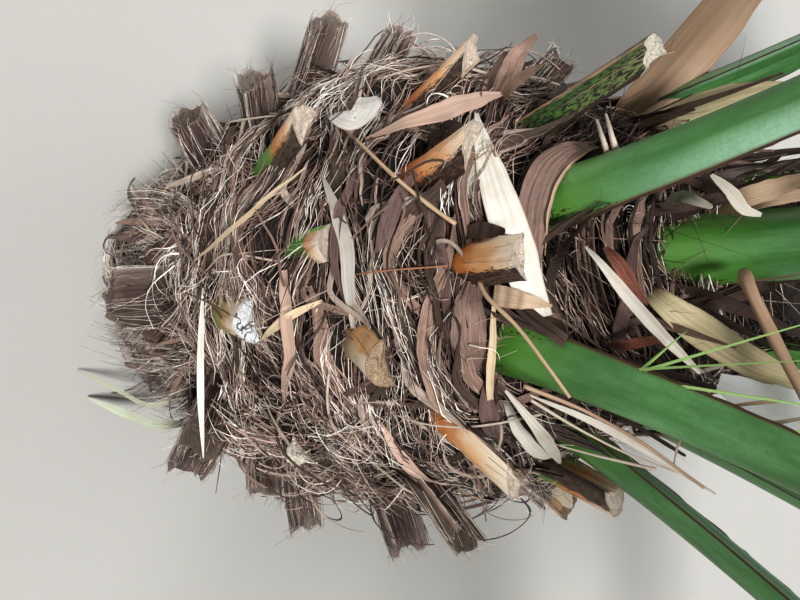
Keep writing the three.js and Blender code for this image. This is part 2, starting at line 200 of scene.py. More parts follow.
class PalmLeafBaseSettings(bpy.types.PropertyGroup):
    ridge_height: size("Ridges", "Height of the lengthwise ridges", 0.0009, 0.01)
    dish_depth: size("Dish of the cut", "How far its middle has sunk", 0.0035, 0.02)
    cut_colour: colour("Cut face", "Dry pith of the cut", "e8d6c4")
    margin_colour: colour("Margins", "Dark fibrous margins and spots", "2b1d16")


class PalmFrondSettings(bpy.types.PropertyGroup):
    pairs: amount("Leaflet pairs", "Pairs of leaflets on a frond", 54, 4, 120)
    longest: size("Longest leaflet", "Length of the longest leaflet", 0.4, 1.0)
    leaflet_width: size("Leaflet width", "Width of the longest leaflet", 0.026, 0.1)
    leaflet_sag: size("Leaflet sag", "Sag of a leaflet a metre long", 0.22, 1.0)
    opening: FloatProperty(
        name="Opening", description="Angle of the leaflets above the rib",
        subtype="ANGLE", default=math.radians(24), min=0, max=math.radians(80))
    stalk_colour: colour("Stalk", "Living stalk", "3f7438")
    # Paler wax on the stalk, laid on in streaky noise, partly standing for a painted sheen of light
    stalk_light: colour("Stalk ridge", "Paler wax on the stalk", "76a673")
    foot_colour: colour("Stalk foot", "Yellow-green foot of a stalk", "5d8c34")
    fresh_colour: colour("Fresh leaflets", "Youngest leaflets", "5c8a45")
    mid_colour: colour("Leaflets", "Full-grown leaflets", "47713c")
    dusky_colour: colour("Dusky leaflets", "Older grey-green leaflets", "5c7860")
    spine_colour: colour("Spines", "Green spines low on the stalk", "9cbf74")
    spear_colour: colour("Spear", "Unopened leaf", "a9bd6c")


class PalmDrySettings(bpy.types.PropertyGroup):
    thickness: size("Thickness", "Thickness of a dry blade", 0.0012, 0.01)
    cream_colour: colour("Cream", "Freshly dried blade", "dad6cb")
    tan_colour: colour("Tan", "Older dried blade", "b59c84")
    pink_colour: colour("Pink tan", "Dried blade with a pink cast", "bfa394")
    brown_leaf_colour: colour("Brown", "Broad leaf gone brown", "a2866f")
    straw_colour: colour("Straw", "Thin dry stalks", "d0bc9c")
    white_colour: colour("Bleached", "Blade bleached white", "d2d0ca")


class PalmStageSettings(bpy.types.PropertyGroup):
    floor_size: size("Floor", "Side of the floor", 60.0, 200.0)
    floor_colour: colour("Floor colour", "Plain pale floor", "9f9d99")
    sky_colour: colour("Surround", "Plain pale surround", "f2f4f6")


def settings(group):
    """The scene's settings for one part of the palm."""
    return getattr(bpy.context.scene, f"palm_{group}")


# Arrays and shapes

def unit(vectors):
    """Each vector over its own length."""
    return vectors / np.maximum(np.linalg.norm(vectors, axis=-1, keepdims=True), 1e-12)


def mixed(a, b, share):
    """a at share 0, b at share 1, and straight between."""
    return a + (b - a) * share


def outward(azimuth):
    """The level direction (sin a, -cos a, 0) that azimuth a, in degrees, faces."""
    a = np.radians(azimuth)
    return np.stack([np.sin(a), -np.cos(a), np.zeros_like(a)], -1)


def sideways(azimuth):
    """The level direction (cos a, sin a, 0) to the right of azimuth a."""
    a = np.radians(azimuth)
    return np.stack([np.cos(a), np.sin(a), np.zeros_like(a)], -1)


def column(values):
    """Numbers given one more axis, so that they multiply vectors."""
    return np.asarray(values, float)[..., None]


def steps(count):
    """Even shares from 0 to 1."""
    return np.linspace(0, 1, count)


def hills(u, v, columns, rows, seed):
    """Smooth random heights from -1 to 1 over u and v from 0 to 1, with u wrapping round.

    Random numbers stand at the corners of a grid of columns by rows, and each cell blends its four
    corners by (1 - cos(pi t)) / 2 in both directions.
    """
    corner = np.random.default_rng(seed).uniform(-1, 1, (rows + 2, columns))
    x, y = np.mod(u, 1.0) * columns, np.clip(v, 0, 1) * rows
    i, j = np.floor(x).astype(int), np.floor(y).astype(int)
    fx, fy = (0.5 - 0.5 * np.cos(np.pi * (t - k)) for t, k in ((x, i), (y, j)))
    i, after = i % columns, (i + 1) % columns
    lower, upper = (mixed(corner[k, i], corner[k, after], fx) for k in (j, j + 1))
    return mixed(lower, upper, fy)


def over_trunk(azimuth, height, columns, rows, seed):
    """Hills laid round the trunk and up it."""
    return hills(azimuth / 360, height / TRUNK_TOP, columns, rows, seed)


def spread(rng, low, high, total):
    """Random numbers between two, as a column."""
    return column(rng.uniform(low, high, total))


def scatter(rng, middle, off, total):
    """Random numbers about a middle, as a column."""
    return column(rng.normal(middle, off, total))


def smoothly(points, stations):
    """A curve through a few points: a Hermite cubic between each two, evenly spaced in arc length.

    The slope at a point is taken from its neighbours on both sides.
    """
    points = np.asarray(points, float)
    reach = np.concatenate([[0], np.cumsum(np.linalg.norm(np.diff(points[:, :3], axis=0), axis=1))])
    slope = np.gradient(points, reach, axis=0)
    at = np.linspace(0, reach[-1], stations)
    k = np.clip(np.searchsorted(reach, at, side="right") - 1, 0, len(points) - 2)
    gap = reach[k + 1] - reach[k]
    t, gap = column((at - reach[k]) / gap), column(gap)
    return hermite(t, points[k], gap * slope[k], points[k + 1], gap * slope[k + 1])


def hermite(t, start, leaving, end, arriving):
    """(2t^3 - 3t^2 + 1) start + (t^3 - 2t^2 + t) leaving + (3t^2 - 2t^3) end + (t^3 - t^2) arriving."""
    return ((2 * t**3 - 3 * t**2 + 1) * start + (t**3 - 2 * t**2 + t) * leaving
            + (3 * t**2 - 2 * t**3) * end + (t**3 - t**2) * arriving)


# Leaf bases and stalks as rows of numbers, for the swellings that they make in the skin

def all_boots():
    """Every cut leaf base, seen and unseen, as one list of rows."""
    lowest, highest = BACK_ROWS[0][0], BACK_ROWS[-1][0]
    rows = list(SEEN_BOOTS)
    for height, azimuths, finishes in BACK_ROWS:
        rise = BACK_RISE_LOW + BACK_RISE_PER_METRE * (height - lowest)
        width = mixed(*BACK_WIDTHS, (height - lowest) / (highest - lowest))
        for number, (azimuth, finish) in enumerate(zip(azimuths, finishes)):
            side = 1 if number % 2 else -1
            rows.append((azimuth, height, rise, BACK_LENGTH, width, width * BACK_TAPER, finish, side))
    return rows


def all_stubs():
    """Every ingrown stub as a row like a leaf base's."""
    rows = list(SEEN_STUBS)
    for height, azimuths in STUB_ROWS:
        rise = BACK_RISE_LOW + BACK_RISE_PER_METRE * (height - BACK_ROWS[0][0])
        for number, azimuth in enumerate(azimuths):
            finish = ("grey", "weathered", "dark")[number % 3]
            rows.append((azimuth, height, rise, STUB_LENGTH, STUB_WIDTH, STUB_WIDTH * BACK_TAPER, finish, 1))
    return rows


BOOTS = all_boots()
STUBS = all_stubs()
FEET = np.array([(b[0], b[1], b[4], 0) for b in BOOTS + STUBS] + [(f[0], f[1], f[6], 1) for f in FRONDS])


PROFILE_ROUNDING = 0.012


def trunk_radius(height):
    """Radius from the profile, averaged over a short reach of height so that its corners are round."""
    heights = (height - PROFILE_ROUNDING, height, height + PROFILE_ROUNDING)
    return np.mean([np.interp(h, TRUNK_HEIGHTS, TRUNK_RADII) for h in heights], axis=0)


def around(azimuth, foot):
    """Degrees from a foot's azimuth, from -180 to 180."""
    return np.mod(azimuth - foot + 180, 360) - 180


def swelling(azimuth, height):
    """How far the skin stands out under the feet of the leaves and sinks just over them.

    Each foot adds a bell exp(-(x / a)^2 - (y / b)^2), x and y being the distances along and up the
    trunk from a point under the foot, and the highest bell counts. A smaller bell over the foot is
    taken off, so that the leaf stands free in front of it.
    """
    trunk = settings("trunk")
    total, dent = np.zeros((2,) + np.broadcast(azimuth, height).shape)
    for foot_azimuth, foot_height, width, living in FEET:
        tall = trunk.stalk_swelling if living else trunk.boot_swelling
        x = np.radians(around(azimuth, foot_azimuth)) * trunk_radius(foot_height) / (0.85 * width)
        y = height - foot_height
        total = np.maximum(total, tall * np.exp(-x**2 - ((y + 0.026) / 0.024) ** 2))
        dent = np.maximum(dent, 0.011 * np.exp(-(1.2 * x) ** 2 - ((y - 0.02) / 0.02) ** 2))
    return total - dent


def relief(azimuth, height):
    """How far the mat bulges and sinks: hills at two sizes, which die out at the ground."""
    lumps = 0.6 * over_trunk(azimuth, height, 26, 17, 11) + 0.5 * over_trunk(azimuth, height, 72, 50, 12)
    return settings("trunk").lump_height * lumps * np.clip(height / 0.03, 0, 1)


def on_trunk(azimuth, height, lift, follow=1.0):
    """Points off the axis by radius, swelling, a share of the relief and the lift."""
    azimuth, height = np.broadcast_arrays(np.asarray(azimuth, float), np.asarray(height, float))
    reach = trunk_radius(height) + swelling(azimuth, height) + follow * relief(azimuth, height) + lift
    return off_axis(azimuth, height, reach)


def off_axis(azimuth, height, reach):
    """Points outward by reach from the leaning axis."""
    return outward(azimuth) * column(reach) + column(height) * (LEAN + UP)


def clear_of_trunk(azimuth, height, lift):
    """Points outward by the plain radius plus the lift, for blades that bridge the swellings."""
    return off_axis(azimuth, height, trunk_radius(height) + lift)


def off_trunk(azimuth, height):
    """The direction square to the trunk: outward, tipped up or down by the slope of the profile."""
    slope = (trunk_radius(height + 0.01) - trunk_radius(height - 0.01)) / 0.02
    return unit(outward(np.broadcast_to(azimuth, np.shape(height))) - column(slope) * UP)


def foot_on(azimuth, height, depth):
    """A point inside the trunk's plain surface, depth from it."""
    return off_axis(azimuth, height, np.interp(height, TRUNK_HEIGHTS, TRUNK_RADII) - depth)


def frames_at(azimuth, rise):
    """For a limb rising by e: along = out cos e + up sin e, across = level, above = up cos e - out sin e."""
    e = column(np.radians(rise))
    out = outward(azimuth)
    along = out * np.cos(e) + UP * np.sin(e)
    return along, np.broadcast_to(sideways(azimuth), along.shape), UP * np.cos(e) - out * np.sin(e)


def circle(sides):
    """Places evenly round a circle of radius 1, anticlockwise from the right."""
    t = 2 * np.pi * np.arange(sides) / sides
    return np.stack([np.cos(t), np.sin(t)], -1)


ARC_STATIONS = 600


def arc(start, azimuth, rise_at, places):
    """Centres at arc lengths along a curve in an upright plane: the running sum of its directions."""
    fine = np.linspace(0, places.max(), ARC_STATIONS)
    middle = (fine[1:] + fine[:-1]) / 2
    moves = frames_at(azimuth, rise_at(middle))[0] * column(np.diff(fine))
    run = np.concatenate([[start], start + np.cumsum(moves, axis=0)])
    return np.stack([np.interp(places, fine, run[:, k]) for k in range(3)], -1)


def keeled(sides):
    """Section of a leaf base or stalk, anticlockwise from the right margin, in shares of width and thickness.

    x goes as cos t. The upper face is a shallow channel 0.1 |2x|^1.6 and the lower one a keel
    0.1 - 0.9 (1 - |2x|^1.8)^0.68, so the two margins are sharp.
    """
    x = circle(sides)[:, 0]
    upper = 0.1 * np.abs(x) ** 1.6
    lower = 0.1 - 0.9 * np.maximum(0, 1 - np.abs(x) ** 1.8) ** 0.68
    return np.stack([x / 2, np.where(2 * np.arange(sides) <= sides, upper, lower)], -1)


def lens(sides, fold=0.0):
    """A flat section anticlockwise from its right edge: x = cos t / 2, y = sin t / 2 plus fold * |2x|."""
    x, y = circle(sides).T
    return np.stack([x / 2, y / 2 + fold * np.abs(x)], -1)


ROUND = {sides: circle(sides) for sides in (3, 4, 6)}


def sweep(points, facing, section, width, thick=None, turn=0.0):
    """Rings of a section carried along paths.

    At each station the tangent is the difference of its neighbours, above is the facing direction
    less its part along the tangent, turned by `turn` about it, and across is above x tangent. A
    section point (x, y) lands at centre + x width across + y thick above.
    """
    along = unit(np.gradient(points, axis=-2))
    above = unit(facing - np.sum(facing * along, -1, keepdims=True) * along)
    across = np.cross(above, along)
    turn = column(turn)
    above, across = above * np.cos(turn) - across * np.sin(turn), across * np.cos(turn) + above * np.sin(turn)
    x, y = (section[..., k] * column(np.broadcast_to(scale, points.shape[:-1]))
            for k, scale in enumerate((width, width if thick is None else thick)))
    return points[..., None, :] + across[..., None, :] * column(x) + above[..., None, :] * column(y)


def quad_corners(grid):
    """The corners of the quads between neighbouring rings, from what each point of the rings has."""
    after = np.roll(grid, -1, axis=2)
    return np.stack([grid[:, :-1], after[:, :-1], after[:, 1:], grid[:, 1:]], 3)


class Surface:
    """Points and polygons gathered as arrays, then made into one mesh with a UV map."""

    def __init__(self):
        self.points, self.corners, self.places, self.finishes, self.sizes = [], [], [], [], []
        self.count = 0

    def add_polygons(self, corners, places, finish):
        """Corners (..., k) are point numbers, places their spots on the UV map, finish material numbers."""
        self.corners.append(corners.reshape(-1))
        self.places.append(places.reshape(-1, 2))
        self.finishes.append(finish.reshape(-1))
        self.sizes.append(np.full(finish.size, corners.shape[-1]))

    def add_tubes(self, rings, u, v, finish=0):
        """Skins rings of shape (tubes, stations, sides, 3), anticlockwise seen from the far end.

        Each pair of neighbouring rings gets a quad per side, and a flat polygon closes each end. u
        has a value per side, v one per station and finish one for all, per tube or per quad.
        """
        numbers = self.count + np.arange(rings[..., 0].size).reshape(rings.shape[:-1])
        self.points.append(np.maximum(rings.reshape(-1, 3), (-np.inf, -np.inf, 0)))
        self.count += numbers.size
        spots = np.stack([np.broadcast_to(u, numbers.shape), np.broadcast_to(column(v), numbers.shape)], -1)
        quads = quad_corners(numbers)
        if np.ndim(finish) == 1:
            finish = np.reshape(finish, (-1, 1, 1))
        finish = np.broadcast_to(finish, quads.shape[:-1])
        self.add_polygons(quads, quad_corners(spots), finish)
        self.add_polygons(numbers[:, 0, ::-1], spots[:, 0, ::-1], finish[:, 0, 0])
        self.add_polygons(numbers[:, -1], spots[:, -1], finish[:, -1, 0])

    def build(self, name, materials, slot, crease=None):
        """One mesh object that rides on the palm, smooth but for edges over the crease angle."""
        mesh = bpy.data.meshes.new(name)
        lists = (self.points, self.corners, self.places, self.finishes, self.sizes)
        points, corners, places, finishes, sizes = (np.concatenate(arrays) for arrays in lists)
        mesh.vertices.add(len(points))
        mesh.loops.add(len(corners))
        mesh.polygons.add(len(sizes))
        mesh.vertices.foreach_set("co", points.astype(np.float32).ravel())
        mesh.loops.foreach_set("vertex_index", corners.astype(np.int32))
        mesh.polygons.foreach_set("loop_start", (np.cumsum(sizes) - sizes).astype(np.int32))
        mesh.polygons.foreach_set("material_index", finishes.astype(np.int32))
        mesh.update(calc_edges=True)
        uv_map = mesh.uv_layers.new(name="UVMap")
        uv_map.data.foreach_set("uv", places.astype(np.float32).ravel())
        mesh.shade_smooth()
        if crease is not None:
            mesh.set_sharp_from_angle(angle=math.radians(crease))
        for material in materials:
            mesh.materials.append(material)
        piece = bpy.data.objects.new(name, mesh)
        bpy.context.scene.collection.objects.link(piece)
        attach(piece, BODY)
        return piece


def tube_piece(name, rings, u, v, materials, slot, crease=None, finish=0):
    """One tube as a piece of its own."""
    surface = Surface()
    surface.add_tubes(rings[None], u, v, finish)
    return surface.build(name, materials, slot, crease)


# Materials

class Value:
    """A node's output that reads as a number: sums, differences and products of it are maths nodes."""

    def __init__(self, recipe, socket):
        self.recipe, self.socket = recipe, socket

    def maths(self, operation, a, b=0.0):
        return self.recipe.outputs("ShaderNodeMath", {0: a, 1: b}, operation=operation)[0]

    def __add__(self, other):
        return self.maths("ADD", self, other)

    def __radd__(self, other):
        return self.maths("ADD", other, self)

    def __sub__(self, other):
        return self.maths("SUBTRACT", self, other)

    def __rsub__(self, other):
        return self.maths("SUBTRACT", other, self)

    def __mul__(self, other):
        return self.maths("MULTIPLY", self, other)

    def __abs__(self):
        return self.maths("ABSOLUTE", self)

    def between(self, low, high, start=0.0, end=1.0):
        """The value taken smoothly from start at low to end at high."""
        inputs = {"Value": self, "From Min": low, "From Max": high, "To Min": start, "To Max": end}
        return self.recipe.outputs("ShaderNodeMapRange", inputs, interpolation_type="SMOOTHSTEP")[0]


class Recipe:
    """Puts nodes in a tree; an input is a plain value, a colour's six digits or another node's output."""

    def __init__(self, tree):
        self.tree = tree

    def feed(self, node, inputs):
        for key, value in inputs.items():
            value = getattr(value, "socket", value)
            if isinstance(value, bpy.types.NodeSocket):
                self.tree.links.new(value, node.inputs[key])
            else:
                node.inputs[key].default_value = linear(value) if isinstance(value, str) else value

    def outputs(self, kind, inputs, **options):
        """Makes a node and gives back its outputs."""
        node = self.tree.nodes.new(kind)
        for key, value in options.items():
            setattr(node, key, value)
        self.feed(node, inputs)
        return [Value(self, socket) for socket in node.outputs]

    def mix(self, share, a, b):
        return self.outputs("ShaderNodeMix", {0: share, 6: a, 7: b}, data_type="RGBA")[2]

    def shades(self, share, shade, low, high):
        """A colour multiplied by low where the share is 0 and by high where it is 1."""
        return self.mix(share, shaded(shade, low), shaded(shade, high))

    def stretched(self, vector, by):
        """A position with each coordinate multiplied, so that a pattern is drawn out along an axis."""
        return self.outputs("ShaderNodeVectorMath", {0: vector, 1: by}, operation="MULTIPLY")[0]

    def noise(self, vector, scale, detail=3.0, roughness=0.6):
        inputs = {"Vector": vector, "Scale": scale, "Detail": detail, "Roughness": roughness}
        return self.outputs("ShaderNodeTexNoise", inputs)[0]

    def split(self, vector):
        """The first two coordinates of a position."""
        return self.outputs("ShaderNodeSeparateXYZ", {"Vector": vector})[:2]

    def object_place(self):
        return self.outputs("ShaderNodeTexCoord", {})[3]

    def uv_place(self):
        return self.outputs("ShaderNodeUVMap", {}, uv_map="UVMap")[0]

    def group(self, name, *inputs):
        """The outputs of a shared node group, with values for its first inputs."""
        return self.outputs("ShaderNodeGroup", dict(enumerate(inputs)), node_tree=shared_group(name))

    def patches(self, *scales):
        """Slow patches, and fine grain where its scale is given too."""
        both = self.group(MOTTLE, self.object_place(), *scales)
        return both if len(scales) > 1 else both[0]

    def specks(self, place, across, along, share):
        return self.group(SPECKS, place, across, along, share)[0]


class Finish(Recipe):
    """The recipe of a material with a Principled shader, whose colour is laid on in layers."""

    def __init__(self, name, roughness):
        self.material = bpy.data.materials.new(name)
        self.material.use_nodes = True
        super().__init__(self.material.node_tree)
        self.shader = self.tree.nodes["Principled BSDF"]
        self.shader.inputs["Roughness"].default_value = roughness

    def layer(self, share, over):
        """Lays a colour over what is shown so far, as much as the share says."""
        self.shown = self.mix(share, self.shown, over)

    def done(self, roughness=None, height=None, depth=0.001):
        """The material: its shader gets the colour, a roughness and a bump of that depth from a height."""
        self.feed(self.shader, {"Base Color": self.shown})
        if roughness is not None:
            self.feed(self.shader, {"Roughness": roughness})
        if height is not None:
            bump = {"Height": height, "Distance": depth, "Strength": 1.0}
            self.feed(self.shader, {"Normal": self.outputs("ShaderNodeBump", bump)[0]})
        return self.material


def drawn_out(recipe, given):
    """The group's vector, with its U and V multiplied by Across and Along."""
    scale = recipe.outputs("ShaderNodeCombineXYZ", {"X": given["Across"], "Y": given["Along"], "Z": 1.0})[0]
    return recipe.stretched(given["Vector"], scale)


def strand_nodes(recipe, given):
    """Noise drawn out along V, as the vessels of a palm leaf run, and the same with more contrast."""
    place = drawn_out(recipe, given)
    both = recipe.noise(place, 0.45, 2.0) * 0.5 + recipe.noise(place, 1.0, 4.0, 0.7) * 0.5
    half = given["Contrast"] * 0.25
    return both.between(0.5 - half, 0.5 + half), both


def speck_nodes(recipe, given):
    """Ragged specks drawn out along V, fewer of them where the share is low."""
    ragged = recipe.noise(drawn_out(recipe, given), 1.3, 4.0, 0.75)
    edge = 1.0 - given["Share"]
    return (ragged.between(edge - 0.03, edge + 0.03),)


def mottle_nodes(recipe, given):
    """Slow patches and fine grain, each from 0 to 1."""
    patches = recipe.noise(given["Vector"], given["Patch Scale"], 4.0)
    grain = recipe.noise(given["Vector"], given["Grain Scale"], 3.0)
    return patches.between(0.35, 0.65), grain.between(0.3, 0.7)


STRANDS, SPECKS, MOTTLE = "Palm Strands", "Palm Specks", "Palm Mottle"
# Each shared group: its number inputs after the vector, its outputs and its nodes
GROUPS = {
    STRANDS: ({"Across": 60.0, "Along": 3.0, "Contrast": 0.5}, ("Strands", "Height"), strand_nodes),
    SPECKS: ({"Across": 20.0, "Along": 12.0, "Share": 0.5}, ("Mask",), speck_nodes),
    MOTTLE: ({"Patch Scale": 9.0, "Grain Scale": 400.0}, ("Patches", "Grain"), mottle_nodes),
}


def shared_group(name):
    """A node group with named inputs and outputs, built the first time that it is asked for."""
    tree = bpy.data.node_groups.get(name)
    if tree is None:
        numbers, outputs, fill = GROUPS[name]
        tree = bpy.data.node_groups.new(name, "ShaderNodeTree")
        tree.interface.new_socket(name="Vector", in_out="INPUT", socket_type="NodeSocketVector")
        for label, default in numbers.items():
            socket = tree.interface.new_socket(name=label, in_out="INPUT", socket_type="NodeSocketFloat")
            socket.default_value = default
        for label in outputs:
            tree.interface.new_socket(name=label, in_out="OUTPUT", socket_type="NodeSocketFloat")
        recipe = Recipe(tree)
        given = dict(zip(["Vector", *numbers], recipe.outputs("NodeGroupInput", {})))
        recipe.outputs("NodeGroupOutput", dict(zip(outputs, fill(recipe, given))))
    return tree


def shaded(shade, by):
    """A colour, or the colour of six digits, with its three channels multiplied."""
    shade = linear(shade) if isinstance(shade, str) else shade
    return tuple(min(1.0, c * by) for c in shade[:3]) + (1.0,)


def skin_finish(trunk):
    """Matted skin: level strands on dark gaps, from noise drawn out round the trunk; the near-black gaps and
    darkened strands are partly painted shade under the mat.
    """
    recipe = Finish("Trunk Skin", 0.9)
    place = recipe.object_place()
    level = recipe.noise(recipe.stretched(place, (26, 26, 420)), 1.0, 5.0, 0.65)
    slanted = recipe.outputs("ShaderNodeMapping", {"Vector": place, "Rotation": (0.5, 0.35, 0.0)})[0]
    crossing = recipe.noise(recipe.stretched(slanted, (30, 30, 360)), 1.0, 4.0, 0.6)
    woven = level.maths("MAXIMUM", level, crossing)
    recipe.shown = trunk.gap_matting_and_shade
    # The strands are darkened to 0.55 and 0.22 of their colour: painted shade deep in the mat
    strands = recipe.shades(recipe.group(MOTTLE, place, 14.0)[0], trunk.strand_colour, 0.55, 0.22)
    recipe.layer(woven.between(0.53, 0.68), strands)
    return recipe.done(None, woven, 0.004)


def fibre_finish(name, shade):
    """Dry fibre: one plain colour per piece, a little lighter and darker from place to place."""
    recipe = Finish(name, 0.62)
    recipe.shown = recipe.shades(recipe.patches(70.0), shade, 0.7, 1.22)
    return recipe.done()


def sheath_finish(name, shade):
    """Leaf sheath: strands along the strap, dark and pale by turns, glossier where it is smooth."""
    recipe = Finish(name, 0.5)
    place = recipe.uv_place()
    streak, ridges = recipe.group(STRANDS, place, 10.0, 7.0, 0.9)
    fine, fine_ridges = recipe.group(STRANDS, place, 34.0, 14.0, 0.8)
    patches = recipe.patches(30.0)
    recipe.shown = recipe.shades(patches, shade, 0.22, 0.55)
    recipe.layer(streak, recipe.shades(patches, shade, 0.95, 1.8))
    bleaching = min(2.5, 0.72 / max(shaded(shade, 1)[:3]))
    recipe.layer(fine * 0.55, shaded(shade, bleaching))
    return recipe.done(ridges.between(0.3, 0.7, 0.34, 0.62), fine_ridges, 0.003)


OLD_FINISHES = ("weathered", "grey", "dark")
# Finishes of the leaf bases: beside the cut, face, foot, dark flank, how far over from the light margin the
# flank begins, how spotted it is, and green at the foot from 0 to 1
BASE_FINISHES = {
    "cream": ("f8e8d0", "ecb67e", "cb8044", "38241a", 0.72, 0.52, 0.0),
    "orange": ("f6dcbe", "eaae78", "c67844", "35221a", 0.79, 0.52, 0.0),
    "tan": ("efe2cd", "d2bea0", "a58c6c", "9c7650", 0.7, 0.14, 0.0),
    "chalky": ("dcd2c2", "d0ab7c", "94874c", "4c3b2c", 0.78, 0.46, 0.4),
    "fresh": ("e2c9ae", "cc8247", "5a8a34", "2f2419", 0.77, 0.5, 0.9),
    "green": ("eadcc8", "cb7c40", "4f8a36", "5b8f3e", 0.72, 0.36, 0.0),
    "weathered": ("93857c", "493a36", "3a2e2a", "2e2420", 0.66, 0.34, 0.0),
    "mossy": ("6f7a48", "456d2f", "3a5a27", "1e1911", 0.8, 0.6, 0.4),
    "dark": ("8a7465", "46352c", "32241d", "221915", 0.52, 0.45, 0.0),
    "grey": ("a3968e", "594b46", "443732", "352a26", 0.62, 0.34, 0.0),
}


# Stains on the leaf bases: green at the foot, black specks, rosy bands where moss is rubbed off, and cracks
FOOT_GREEN, MOSS_BLACK, RUBBED_ROSE, CRACK_BLACK = "4f7d33", "1d1a12", "b98f6c", "15110f"
# Marks on a stalk: a painted sheen of light on one flank, specks and a dead edge; and on a dry blade,
# blotches and a frayed edge
FLANK_PAINTED_SHEEN, SPECK_BROWN, DEAD_EDGE = "a9cdb6", "33251a", "54402c"
BLOTCH_TAN, FRAYED_TAN = "8d6d4e", "86644a"


def leaf_base_finish(kind, side, bases):
    """The side of a leaf base: pale by the cut, a clean face, a dark spotted flank and dark margins.

    U runs from margin to margin and V from foot to cut, so masks on U and V place each part, and
    strands along V streak them all.
    """
    rim, face, foot, flank, split_at, spots, green = BASE_FINISHES[kind]
    old = kind in OLD_FINISHES
    recipe = Finish(f"Leaf Base {kind.title()} {'Right' if side > 0 else 'Left'}", 0.6)
    place = recipe.uv_place()
    u, v = recipe.split(place)
    if side < 0:
        u = 1.0 - u
    shifted = recipe.outputs("ShaderNodeVectorMath", {0: place, 1: recipe.object_place()})[0]
    drift = (recipe.noise(shifted, 6.0, 4.0) - 0.5) * 0.5
    u_drift, v_drift = u + drift * 0.5, v + drift * 0.8
    streak, ridges = recipe.group(STRANDS, place, 46.0, 2.4, 0.9)
    patches = recipe.patches(40.0)
    from_cut, aside, darker, lighter = (0.9, 0.25, 0.7, 1.25) if old else (0.66, 0.6, 0.74, 1.1)
    recipe.shown = recipe.shades(streak, face, darker, lighter)
    recipe.layer(v_drift.between(from_cut, from_cut + 0.34), rim)
    recipe.layer(u_drift.between(0.34, 0.08) * aside, rim)
    low, lowest = (0.76, 0.62) if kind == "green" else (0.6, 0.3)
    recipe.layer(v_drift.between(low, lowest), foot)
    if green:
        recipe.layer(v_drift.between(0.72, 0.4) * green, FOOT_GREEN)
    if kind == "mossy":
        recipe.layer(recipe.specks(place, 30.0, 14.0, 0.5), MOSS_BLACK)
        for middle in (0.4, 0.66):
            recipe.layer(abs(u_drift - middle).between(0.055, 0.025), RUBBED_ROSE)
    dark = recipe.mix(streak * 0.4, recipe.shades(patches, flank, 1, 1.9), shaded(flank, 3.2))
    recipe.layer(u_drift.between(split_at, split_at + 0.07) * 0.94, dark)
    share = u_drift.between(split_at - 0.34, split_at + 0.1) * spots
    recipe.layer(recipe.specks(place, 26.0, 9.0, share), bases.margin_colour)
    recipe.layer(abs(u - 0.5).between(0.472, 0.492), rim if old else bases.margin_colour)
    return recipe.done(ridges.between(0.3, 0.7, 0.45, 0.72), ridges, 0.0024 if old else 0.0016)


# Pith and how cracked it is where a cut isn't fresh
CUT_TINTS = {
    "chalky": ("f1f1f2", 0.9), "weathered": ("5f5249", 0.3), "grey": ("7d7067", 0.3), "dark": ("594b41", 0.3),
    "tan": ("eccaa8", 0.3), "mossy": ("e6dccb", 0.4),
}


def cut_finish(kind, bases):
    """The cut: pale pith with dark pores, browner at the rim, cracked black where it is old."""
    pith, crack = CUT_TINTS.get(kind, (bases.cut_colour, 0.25))
    recipe = Finish(f"Cut Face {kind.title()}", 0.85)
    place = recipe.object_place()
    patches, grain = recipe.group(MOTTLE, place, 120.0, 700.0)
    pores = recipe.outputs("ShaderNodeTexVoronoi", {"Vector": place, "Scale": 520.0, "Randomness": 1.0})[0]
    recipe.shown = recipe.shades(patches, pith, 1, 0.74)
    recipe.layer(pores.between(0.26, 0.1), shaded(pith, 0.5))
    rim = recipe.split(recipe.uv_place())[1].between(1.22, 1.0)
    recipe.layer(rim * 0.55, shaded(pith, 2.2 if kind in OLD_FINISHES else 0.55))
    cracks = abs(recipe.noise(place, 42.0, 2.0, 0.6) - 0.5).between(0.026, 0.008)
    recipe.layer(cracks * crack, CRACK_BLACK)
    return recipe.done(None, pores + grain, 0.004 if kind == "tan" else 0.0014)


def stalk_finish(frond):
    """Living stalk: deep green, pale wax that is partly painted sheen, a painted highlight on one flank, fine
    lines, a yellow-green foot, brown specks.
    """
    recipe = Finish("Green Stalk", 0.38)
    place = recipe.uv_place()
    u, v = recipe.split(place)
    streak, ridges = recipe.group(STRANDS, place, 60.0, 1.2, 1.0)
    patches, grain = recipe.patches(7.0, 260.0)
    waxy = recipe.noise(recipe.stretched(place, (2.4, 4.0, 1)), 1.0, 5.0, 0.62)
    recipe.shown = recipe.shades(patches, frond.stalk_colour, 1, 0.74)
    # Pale wax in streaky noise, partly a painted sheen along the stalk
    recipe.layer(waxy.between(0.4, 0.74, 0.0, 0.75), frond.stalk_light)
    recipe.layer(streak * 0.07, frond.stalk_light)
    # Painted highlight: a pale blue-green sheen on one flank near the foot of every stalk
    recipe.layer(u.between(0.8, 0.97) * v.between(0.05, 0.25) * 0.55, FLANK_PAINTED_SHEEN)
    recipe.layer(grain.between(0.2, 1.0, 0.0, 0.16), shaded(frond.stalk_colour, 0.6))
    recipe.layer((v + waxy * 0.06).between(0.16, 0.05) * 0.6, frond.foot_colour)
    beside = abs(u - 0.5)
    share = beside.between(0.26, 0.5) * v.between(0.2, 0.03) * 0.3 + 0.18
    recipe.layer(recipe.specks(place, 46.0, 90.0, share), SPECK_BROWN)
    recipe.layer(beside.between(0.484, 0.497) * v.between(0.9, 0.3, 0.25, 1.0), DEAD_EDGE)
    return recipe.done(waxy.between(0.3, 0.7, 0.3, 0.46), ridges, 0.0004)


def leaflet_finish(name, shade):
    """Leaflets: one plain green per leaflet, with gloss; only its roughness changes from place to place."""
    recipe = Finish(name, 0.45)
    recipe.shown = shade
    return recipe.done(recipe.patches(12.0).between(0.0, 1.0, 0.36, 0.56))


